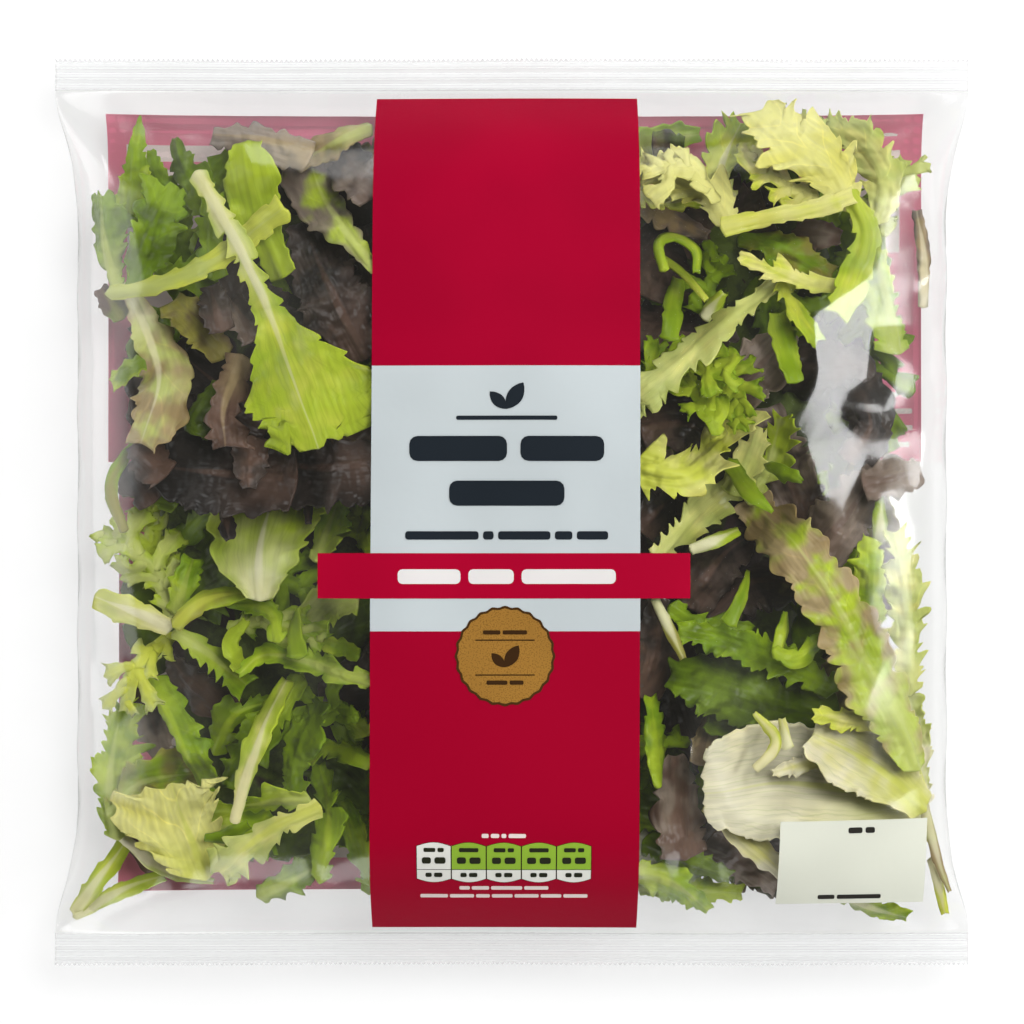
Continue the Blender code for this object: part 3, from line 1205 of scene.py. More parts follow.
def leaf_marks_group():
    """Veins, fibres and mottling, worked out from the place on the flat leaf."""
    tree = bpy.data.node_groups.new("leaf_marks", "ShaderNodeTree")
    for name, value in (("Vein Step", 0.9), ("Fanned", 0.0)):
        socket = tree.interface.new_socket(name, in_out="INPUT", socket_type="NodeSocketFloat")
        socket.default_value = value
    for name in ("Veins", "Fibre", "Midrib", "Mottle", "Height"):
        tree.interface.new_socket(name, in_out="OUTPUT", socket_type="NodeSocketFloat")
    n = Nodes(tree)
    given = n.add("NodeGroupInput")
    out = n.add("NodeGroupOutput")
    flat = n.add("ShaderNodeAttribute", attribute_name="flat").outputs["Vector"]
    place = n.add("ShaderNodeAttribute", attribute_name="place").outputs["Vector"]
    split, where = n.add("ShaderNodeSeparateXYZ"), n.add("ShaderNodeSeparateXYZ")
    n.link(flat, split.inputs[0])
    n.link(place, where.inputs[0])
    across = n.math("ABSOLUTE", split.outputs["X"])
    warp = n.math("MULTIPLY", n.math("SUBTRACT", n.noise(flat, 1.2, 0.0), 0.5), 1.1)
    # Veins that leave the midrib at a slant, unevenly spaced, and thin out towards the edge.
    line = n.math("ADD", n.math("SUBTRACT", split.outputs["Y"], n.math("MULTIPLY", across, 1.3)), warp)
    beat = n.math("PINGPONG", n.math("DIVIDE", line, given.outputs["Vein Step"]), 0.5)
    feathered = n.math("MULTIPLY", n.ramp(beat, 0.44, 0.5), n.ramp(where.outputs["Y"], 0.5, 1.0, 1.0, 0.2))
    # Veins that run out along the blade, and fork where it is broad.
    fanned = None
    for beats, narrow, broad in ((3.3, 0.1, 0.4), (6.6, 0.8, 1.4)):
        bent = n.math("MULTIPLY", warp, 0.35)
        spread_out = n.math("ADD", n.math("MULTIPLY", where.outputs["Y"], beats), bent)
        ray = n.ramp(n.math("PINGPONG", spread_out, 0.5), 0.44, 0.5)
        ray = n.math("MULTIPLY", ray, n.ramp(where.outputs["Z"], narrow, broad))
        fanned = ray if fanned is None else n.math("MAXIMUM", fanned, ray)
    both = n.add("ShaderNodeMix", data_type="FLOAT")
    n.link(given.outputs["Fanned"], both.inputs[0])
    n.link(feathered, both.inputs[2])
    n.link(fanned, both.inputs[3])
    veins = both.outputs[0]
    rib_width = n.ramp(where.outputs["X"], 0.0, 0.95, 0.24, 0.03)
    midrib = n.ramp(n.math("DIVIDE", across, rib_width), 0.35, 1.15, 1.0, 0.0)
    fibre = n.noise(n.stretch(flat, (9.0, 1.1, 1.0)), 1.0, 0.0)
    mottle = n.noise(flat, 1.6, 1.0, 0.6)
    blisters = n.noise(flat, 3.8, 0.0)
    height = n.math("ADD", n.math("MULTIPLY", fibre, 0.5), n.math("MULTIPLY", blisters, 1.6))
    marks = {"Veins": veins, "Fibre": fibre, "Midrib": midrib, "Mottle": mottle, "Height": height}
    for name, value in marks.items():
        n.link(value, out.inputs[name])
    return tree


def leaf_material(name, marks, vein, vein_share, gloss=0.4, glow=0.16, vein_step=0.9, patchy=1.0, fanned=0.0,
                  relief=0.0009):
    """A leaf's skin, from the hue of its middle to that of its rim, with a pale heel and midrib, painted
    shade where it dips into hollows, and paler at its very edge.
    """
    material, n, shader, output = new_material(name)
    group = n.add("ShaderNodeGroup", node_tree=marks)
    group.inputs["Vein Step"].default_value = vein_step
    group.inputs["Fanned"].default_value = fanned
    hue, rim, heel, hollow_shade = (n.add("ShaderNodeAttribute", attribute_name=part).outputs["Color"]
                              for part in ("hue", "rim", "heel", "hollow_shade"))
    where = n.add("ShaderNodeSeparateXYZ")
    n.link(n.add("ShaderNodeAttribute", attribute_name="place").outputs["Vector"], where.inputs[0])
    along, side = where.outputs["X"], where.outputs["Y"]
    wander = n.math("MULTIPLY", n.math("SUBTRACT", group.outputs["Mottle"], 0.5), 2.4 * patchy)
    outward = n.math("ADD", n.math("MULTIPLY", side, 0.45), n.math("MULTIPLY", along, 0.65))
    share = n.ramp(n.math("ADD", outward, wander), 0.15, 0.95)
    blade = n.mix(share, hue, rim)
    blade = n.mix(n.math("MULTIPLY", group.outputs["Veins"], vein_share), blade, vein, "MULTIPLY")
    blade = n.mix(1.0, blade, n.ramp(group.outputs["Fibre"], 0.3, 0.7, 0.93, 1.05), "MULTIPLY")
    spots = n.ramp(n.noise(n.add("ShaderNodeTexCoord").outputs["Object"], 75.0, 1.0), 0.3, 0.75)
    blade = n.mix(n.math("MULTIPLY", spots, 0.25), blade, (0.55, 0.60, 0.45, 1.0), "MULTIPLY")
    low_part = n.math("MULTIPLY", n.ramp(along, 0.02, 0.6, 1.0, 0.0), n.ramp(side, 0.3, 1.1, 1.0, 0.25))
    middle = n.math("MULTIPLY", group.outputs["Midrib"], n.ramp(along, 0.3, 1.0, 1.0, 0.3))
    colour = n.mix(n.math("MULTIPLY", n.math("MAXIMUM", low_part, middle), 0.7), blade, heel)
    # Painted shade: where the leaf dips into a hollow, its colour is multiplied by itself, so it is darker
    # and deeper.
    depth = n.add("ShaderNodeSeparateXYZ")
    n.link(hollow_shade, depth.inputs[0])
    painted_shade_colour = n.mix(1.0, colour, colour, "MULTIPLY")
    colour = n.mix(n.ramp(depth.outputs["X"], -0.6, 1.8, 0.0, 0.5), colour, painted_shade_colour)
    # The colour is paler towards the very edge of the blade.
    paler_edge = n.math("MULTIPLY", n.ramp(side, 0.93, 1.0), 0.35)
    colour = n.mix(paler_edge, colour, (1.5, 1.45, 1.3, 1.0), "MULTIPLY")

    n.link(colour, shader.inputs["Base Color"])
    n.link(n.ramp(group.outputs["Mottle"], 0.3, 0.7, gloss - 0.06, gloss + 0.08), shader.inputs["Roughness"])
    shader.distribution = "GGX"
    shader.inputs["Specular IOR Level"].default_value = 0.4
    n.link(n.bump(group.outputs["Height"], relief, 0.8), shader.inputs["Normal"])
    lit_through = n.add("ShaderNodeBsdfTranslucent")
    n.link(colour, lit_through.inputs["Color"])
    n.link(n.blend(glow, shader, lit_through).outputs[0], output.inputs["Surface"])
    return material


def leaf_materials():
    marks = leaf_marks_group()
    darker, paler = (0.66, 0.74, 0.45, 1.0), (1.6, 1.5, 1.35, 1.0)
    return {
        "frisee": leaf_material("frisee_skin", marks, paler, 0.20, 0.42, 0.20),
        "heart": leaf_material("heart_skin", marks, darker, 0.38, 0.36, 0.24, 0.7, 0.55, 1.0, 0.0003),
        "batavia": leaf_material("batavia_skin", marks, paler, 0.28, 0.38, 0.16, 0.95),
        "lollo": leaf_material("lollo_skin", marks, paler, 0.14, 0.34, 0.06, 1.1),
        "oak": leaf_material("oak_skin", marks, paler, 0.22, 0.40, 0.12, 1.1, 0.9),
    }


# Which piece, and so which material, a kind of leaf belongs to.
PIECE_OF_KIND = {"frisee": "frisee", "antler": "frisee", "batavia": "batavia", "curly": "batavia",
                 "heart": "heart", "fan": "heart", "stem": "heart", "lollo": "lollo", "oak": "oak"}


# ---------------------------------------------------------------- leaves: where they lie

def leaf(kind, hues, spine, left, right=None, **look):
    """A listed leaf: its kind, the hues of its middle, its rim and its heel, and its spine from its cut
    end to its tip, in millimetres from the middle of the bag. Its edges lie this far to the left and right of
    the spine at even steps along it, and look is what else sets it apart.
    """
    return kind, hues.split(), spine, left, right or left, look


# The leaves against the front film, the topmost first.
UPPER_LEFT = [
    leaf("fan", "lemon lime cream", [(-92, 99), (-83, 84), (-75, 69), (-68, 52), (-57, 22)],
         (3.0, 3.2, 4.8, 4.0, 5, 9, 24, 25, 21), (3.0, 3.2, 5.6, 4.4, 5, 8, 21, 16, 15), blunt=True,
         fine=1.5),
    leaf("stem", "sage lemon sage", [(-118, 64), (-103, 66), (-86, 73), (-73, 83), (-66, 88)],
         (2.2, 3.4, 3.8, 4.2, 5), (2, 3, 3.4, 4, 5), blunt=True),
    leaf("lollo", "plum plum", [(-84, 52), (-88, 66)], (4, 6, 4), (4, 5, 3)),
    leaf("lollo", "mauve plum", [(-74, 50), (-82, 62)], (5, 5, 3), (4, 5, 3)),
    leaf("lollo", "plum ink", [(-72, 31), (-73, 47)], (2, 3, 3), (3.5, 5, 3)),
    leaf("lollo", "brown brown tan", [(-79, 46), (-84, 30), (-83, 19)], (5, 6, 5, 8), (5, 4, 5, 5)),
    leaf("lollo", "brown plum", [(-76, 22), (-76, 7)], (6, 6, 2), (6, 5, 2)),
    leaf("batavia", "moss leaf leaf", [(-113, 65), (-107, 78), (-100, 94)], (2, 7, 10, 10), (3, 9, 10, 9),
         curl=0.9, blunt=True, fine=1.5),
    leaf("batavia", "moss leaf sage", [(-117, 66), (-120, 80), (-121, 94)], (2, 3, 4, 3), (3, 8, 9, 6),
         curl=0.9, blunt=True, fine=1.3),
    leaf("batavia", "lime leaf leaf", [(-113, 84), (-111, 100), (-110, 117)], (8, 6, 3, 0.3),
         (9, 7, 3.4, 0.3)),
    leaf("heart", "lime lime lime", [(-66, 68), (-73, 84), (-78, 107)], (4, 6, 9, 9, 5), (4, 6, 8, 9, 5),
         blunt=True, ruffle=0.7),
    leaf("batavia", "leaf leaf leaf", [(-87, 68), (-88, 92)], (4, 6, 5), (4, 4, 5)),
    leaf("batavia", "leaf moss leaf", [(-88, 88), (-96, 102), (-99, 110)], (6, 7, 5, 1), (6, 6, 5, 1)),
    leaf("batavia", "moss leaf leaf", [(-94, 88), (-104, 98), (-107, 107)], (5, 6, 5, 1), (5, 6, 4, 1)),
    leaf("lollo", "mauve mauve tan", [(-58, 104), (-73, 109), (-88, 111)], (6, 8, 7, 3), (4, 5, 5, 2)),
    leaf("oak", "olive tan sage", [(-41, 113), (-52, 108), (-62, 103)], (2.5, 4, 5, 3), (2, 4, 5, 3)),
    leaf("lollo", "mauve plum", [(-38, 92), (-46, 100), (-52, 111)], (7, 8, 6, 2), (5, 7, 6, 2)),
    leaf("oak", "lime mauve sage", [(-39, 69), (-48, 81), (-56, 93), (-60, 105)], (1.5, 3.5, 9, 11, 8),
         (1.5, 3.5, 6, 8, 7), fine=1.1),
    leaf("lollo", "ink plum", [(-42, 44), (-52, 64), (-62, 85)], (8, 11, 12, 9, 4), (8, 10, 10, 9, 4),
         fine=1.2),
    leaf("lollo", "plum ink", [(-39, 56), (-43, 84)], (5, 6, 4), (5, 7, 4)),
    leaf("oak", "brown olive olive", [(-84, 45), (-92, 55), (-99, 62)], (4, 6, 7, 5), (4, 6, 6, 3)),
    leaf("batavia", "moss lime moss", [(-107, 44), (-117, 38)], (3, 4, 3), curl=0.8),
    leaf("oak", "sage tan cream", [(-115, 68), (-108, 54), (-103, 38), (-108, 20)], (2, 6, 10, 12, 7),
         (2, 4, 7, 8, 5), curl=0.4),
    leaf("oak", "moss brown olive", [(-115, 57), (-122, 66)], (3, 4, 2)),
    leaf("batavia", "moss forest moss", [(-85, 38), (-93, 27), (-89, 23)], (4, 5, 2), (3, 4, 2)),
    leaf("lollo", "ink ink", [(-68, 28), (-84, 36), (-97, 46)], (8, 9, 9, 3), (8, 9, 8, 3), sunk=1.5),
    leaf("lollo", "brown plum", [(-101, 10), (-111, 20)], (6, 7, 3), (5, 6, 3)),
    leaf("lollo", "ink ink", [(-62, 9), (-85, 11), (-108, 14)], (9, 13, 12, 4), (9, 12, 12, 5), fine=1.3),
    leaf("lollo", "ink ink", [(-37, 14), (-58, 13), (-80, 17)], (11, 13, 11, 6), (7, 9, 9, 6)),
    leaf("stem", "olive leaf olive", [(-113, -6), (-118, 8), (-110, 23)], (1, 2, 2, 1)),
    leaf("lollo", "ink plum", [(-106, 2), (-114, 14)], (4, 6, 4)),
    leaf("batavia", "leaf moss leaf", [(-98, 3), (-115, 8)], (4, 5, 3)),
]
LOWER_LEFT = [
    leaf("lollo", "ink ink", [(-84.5, 1), (-82, -8)], (1.5, 2.8, 1.5)),
    leaf("lollo", "plum ink", [(-60, 7), (-59.5, -3.5)], (1.6, 1.6, 1)),
    leaf("heart", "sage lime cream", [(-73, -26), (-73, -10), (-71, 5)], (4, 14, 17, 19, 18),
         (4, 11, 14, 17, 20), blunt=True, cup=4.0, fine=1.5),
    leaf("stem", "olive lime lemon", [(-98, -33.5), (-90, -26.5), (-78, -24)], (2.2, 3.2, 3, 1.5)),
    leaf("stem", "butter lemon", [(-99, -34), (-110, -29), (-122, -25)], (2.5, 5, 5.5, 4), (2.5, 4, 4.5, 3),
         blunt=True),
    leaf("antler", "leaf leaf lime", [(-67, -38), (-71, -29), (-84, -27)], (3, 4, 3, 0.6)),
    leaf("stem", "leaf lime lime", [(-62, -43), (-63, -35), (-62, -28)], (3.5, 2.2, 0.5)),
    leaf("antler", "lime leaf sage", [(-40, -49), (-56, -45), (-72, -42), (-79, -47)], (2.5, 4, 3, 3, 1),
         (2.5, 6, 6, 4, 1), fine=1.2),
    leaf("antler", "lime lime lime", [(-78, -47), (-82, -39), (-78, -32)], (3, 3, 1.2)),
    leaf("fan", "lime leaf sage", [(-99, -35), (-90, -41), (-78, -51)], (2, 4, 5.5, 5)),
    leaf("batavia", "lime leaf sage", [(-99, -30), (-94, -14)], (3, 5, 3)),
    leaf("frisee", "sage lime sage", [(-100, -31), (-106, -16), (-121, -6)], (3, 7, 8, 4)),
    leaf("frisee", "lime sage lime", [(-102, -28), (-107, -10), (-106, 4)], (3, 6, 6, 3)),
    leaf("batavia", "leaf moss leaf", [(-101, -10), (-94, -4), (-86, 5)], (3, 4.5, 4, 1.5)),
    leaf("frisee", "lemon sage lemon", [(-100, -36), (-110, -46), (-113, -58)], (3, 7, 8, 4)),
    leaf("frisee", "lime leaf sage", [(-84, -34), (-70, -32), (-56, -38)], (3, 6, 7, 3)),
    leaf("antler", "sage lime sage", [(-44, -23), (-54, -28), (-62, -38)], (6, 8, 6, 2)),
    leaf("batavia", "lime leaf sage", [(-58, -15), (-51, 4)], (3, 7, 5), curl=0.6),
    leaf("frisee", "lime leaf lime", [(-40, -14), (-46, -4), (-52, 6)], (3, 6, 7, 3)),
    leaf("batavia", "leaf lime leaf", [(-44, -42), (-57, -38)], (2, 4, 2)),
    leaf("stem", "butter lime cream", [(-80.5, -90), (-75.5, -73), (-66, -50)], (1.5, 3, 5, 4, 2),
         (1.5, 2, 2.8, 3, 2), fine=1.2),
    leaf("fan", "butter sage lemon", [(-55, -85), (-66, -90), (-77, -97), (-86, -105)], (3, 4, 6, 9, 8),
         (3, 3.4, 4.5, 7, 7), blunt=True, fine=1.4),
    leaf("stem", "moss leaf leaf", [(-90, -95), (-84, -94.5), (-77, -91)], (1, 2.2, 1.6), (1, 2.6, 1.6)),
    leaf("curly", "butter butter lemon", [(-90, -108), (-93, -99), (-96, -91), (-98, -82)],
         (9, 16, 20, 20, 16), (9, 13, 15, 17, 16), fine=1.6, blunt=True, ruffle=0.8),
    leaf("antler", "lime leaf sage", [(-58, -84), (-68, -84), (-80, -86)], (3, 4, 4, 2), (3, 6, 6, 3),
         fine=1.4),
    leaf("batavia", "lime leaf sage", [(-100, -98), (-86, -93), (-70, -94)], (8, 10, 10, 6), sunk=0.8),
    leaf("batavia", "leaf leaf lime", [(-107, -49), (-99, -62), (-93, -74), (-90, -83)], (5, 9, 8, 2.5),
         (1, 1.8, 1.8, 1.5)),
    leaf("curly", "leaf olive sage", [(-119, -90), (-108, -79), (-94, -77)], (5, 9, 10, 4), (5, 9, 9, 4),
         fine=1.4),
    leaf("batavia", "leaf moss lime", [(-62, -48), (-71, -63), (-82, -82)], (3, 5, 5, 3), (3, 7, 9, 5),
         fine=1.3),
    leaf("lollo", "tan mauve", [(-105, -72), (-94, -78)], (3, 5, 2.5)),
    leaf("curly", "leaf lime sage", [(-116, -97), (-119, -80), (-115, -57)], (4, 6, 7, 4), (6, 12, 12, 6),
         fine=1.4),
    leaf("lollo", "plum mauve", [(-113, -48), (-107, -60), (-104, -72)], (5, 7, 6, 3)),
    leaf("antler", "leaf moss lime", [(-88, -72), (-82, -60), (-72, -56)], (3, 7, 6, 2), (3, 6, 6, 2),
         fine=1.3),
    leaf("lollo", "brown plum", [(-82, -60), (-95, -50), (-101, -43)], (5, 7, 6, 2), (5, 7, 5, 2)),
    leaf("batavia", "moss leaf leaf", [(-64, -84), (-62, -70), (-56, -56)], (4, 7, 7, 4), (4, 6, 6, 3),
         sunk=0.5),
    leaf("frisee", "moss leaf leaf", [(-44, -60), (-56, -58), (-68, -62)], (3, 7, 7, 3)),
    leaf("stem", "cream sage", [(-117, -95), (-107, -103), (-98, -107), (-88, -109)], (1.5, 2.2, 2.4, 0.8)),
    leaf("stem", "lemon lime", [(-130, -119), (-121, -107), (-114, -97)], (1.8, 3.2, 3.5, 2)),
    leaf("stem", "lemon lime", [(-130, -120), (-117, -113), (-103, -108)], (1.5, 2.6, 2.5, 1.5)),
    leaf("antler", "lime leaf lime", [(-40, -73), (-54, -70), (-67, -78)], (2, 4, 3, 1), (2, 5, 5, 1)),
    leaf("antler", "lime leaf lime", [(-42, -66), (-52, -57)], (4, 5, 1)),
    leaf("antler", "leaf leaf lime", [(-56, -108), (-53, -90), (-57, -75)], (3, 6, 7, 2), (3, 6, 6, 2)),
    leaf("batavia", "leaf moss sage", [(-75, -113), (-64, -108), (-56, -103)], (3, 6, 6, 3), (3, 5, 5, 3)),
    leaf("antler", "lime leaf leaf", [(-41, -109), (-45, -97), (-50, -86)], (4, 6, 6, 2), (4, 6, 5, 2)),
    leaf("batavia", "forest moss moss", [(-40, -88), (-49, -79), (-57, -73)], (5, 8, 6, 2)),
    leaf("frisee", "leaf moss leaf", [(-42, -112), (-43, -90), (-48, -60)], (6, 8, 8, 4), (4, 5, 5, 4)),
]
UPPER_RIGHT = [
    leaf("stem", "lemon butter butter", [(60, 82), (74, 85.5), (88, 88), (99, 92)], (3, 2.8, 3, 3.2),
         fine=1.4),
    leaf("stem", "lemon lime lime", [(98, 94), (103, 82), (100, 70), (94, 58)], (2.5, 5.4, 6, 4.5),
         (2.5, 4.6, 5.2, 4), fine=1.6),
    leaf("antler", "lemon butter butter", [(97, 66), (86, 67), (77, 70), (66, 74)], (2, 3, 5, 5, 1),
         (2, 3, 6, 6, 1)),
    leaf("antler", "lemon lime lemon", [(78, 68), (84, 57), (89, 50)], (4, 4.5, 2.5)),
    leaf("curly", "butter butter butter", [(99, 88), (94, 99), (84, 108), (74, 119)], (4, 12, 14, 12, 8),
         (4, 13, 14, 12, 7), fine=1.5),
    leaf("frisee", "butter sage butter", [(96, 104), (88, 114), (76, 120)], (3, 6, 7, 3), (3, 5, 5, 2)),
    leaf("frisee", "butter lemon butter", [(90, 92), (80, 96), (72, 106)], (3, 6, 7, 4)),
    leaf("frisee", "butter butter butter", [(60, 90), (50, 100), (38, 98)], (3, 6, 7, 4), (3, 6, 6, 4)),
    leaf("curly", "butter butter butter", [(63, 83), (58, 93), (47, 99), (34, 102)], (3, 8, 10, 8, 4),
         (5, 10, 10, 9, 5), fine=1.5),
    leaf("curly", "lemon lime", [(65, 92), (62, 102), (68, 116)], (3, 8, 9, 6), (3, 7, 9, 6), fine=1.3),
    leaf("curly", "butter sage sage", [(106, 84), (109, 96), (104, 108), (94, 117)], (3, 7, 8, 7, 4),
         (4, 8, 9, 8, 4), fine=1.4),
    leaf("frisee", "sage sage sage", [(100, 84), (110, 94), (116, 104)], (3, 6, 7, 4)),
    leaf("curly", "lime lemon", [(36, 94), (48, 92), (58, 100)], (5, 8, 7, 3), (5, 7, 6, 3), fine=1.1),
    leaf("lollo", "ink moss", [(41, 108), (51, 109)], (4, 5, 3)),
    leaf("heart", "sage leaf sage", [(35, 104), (45, 111), (56, 113)], (6, 7, 5, 2)),
    leaf("stem", "lime leaf lime", [(44, 69), (42.5, 77), (47, 80), (53, 76), (53, 69)],
         (1.3, 1.6, 1.8, 1.6, 1)),
    leaf("stem", "lime lemon lime", [(42, 75.5), (49, 70), (56, 61)], (1.2, 1.1, 0.8)),
    leaf("stem", "lime leaf leaf", [(45, 49), (47, 60), (49, 68)], (3, 3.4, 2)),
    leaf("fan", "butter sage sage", [(77, 67), (61, 54), (47, 42), (33, 31)], (2.5, 4.5, 7, 8),
         (2.5, 4, 6, 7), blunt=True, fine=1.4),
    leaf("stem", "lemon lime", [(56, 56), (62, 64)], (1.8, 2.4, 1.2)),
    leaf("oak", "tan mauve tan", [(35, 94), (46, 89), (58, 82)], (4, 4, 3, 1.5), (5, 6, 5, 2)),
    leaf("batavia", "forest moss forest", [(64, 108), (72, 102), (78, 97)], (3, 5, 2), sunk=1.5),
    leaf("lollo", "plum ink", [(60, 91), (73, 97), (84, 103)], (6, 8, 8, 3), sunk=2),
    leaf("batavia", "leaf olive leaf", [(68, 84), (80, 77), (94, 70)], (5, 7, 6, 3), (5, 7, 7, 3), sunk=1),
    leaf("lollo", "mauve brown", [(83, 84), (97, 81)], (3, 5, 2), sunk=1),
    leaf("heart", "leaf lime leaf", [(82, 37), (80, 48), (78, 58)], (2.5, 4, 4.4, 2.5)),
    leaf("batavia", "leaf lime sage", [(113, 46), (109, 66), (104, 88)], (7, 9, 7, 3), (4, 5, 4, 2)),
    leaf("oak", "tan mauve", [(121, 60), (121.5, 75), (120, 89)], (1.5, 2, 1.5)),
    leaf("frisee", "lime leaf lime", [(35, 36), (50, 44), (63, 40)], (4, 8, 8, 4), fine=1.2),
    leaf("frisee", "lime leaf lime", [(60, 22), (54, 34), (44, 42)], (4, 7, 8, 4), fine=1.2),
    leaf("frisee", "leaf moss leaf", [(64, 52), (58, 64), (62, 76)], (3, 6, 7, 3), sunk=0.5),
    leaf("frisee", "lime leaf lime", [(58, 44), (66, 36), (66, 24)], (4, 7, 7, 3)),
    leaf("lollo", "mauve mauve", [(65, 34), (74, 44), (82, 53)], (7, 9, 8, 3)),
    leaf("lollo", "plum ink", [(36, 64), (45, 80), (57, 89)], (9, 10, 8, 3), (10, 13, 10, 3), sunk=0.6),
    leaf("lollo", "plum plum", [(36, 56), (52, 52), (66, 54)], (8, 9, 8, 3), sunk=1),
]
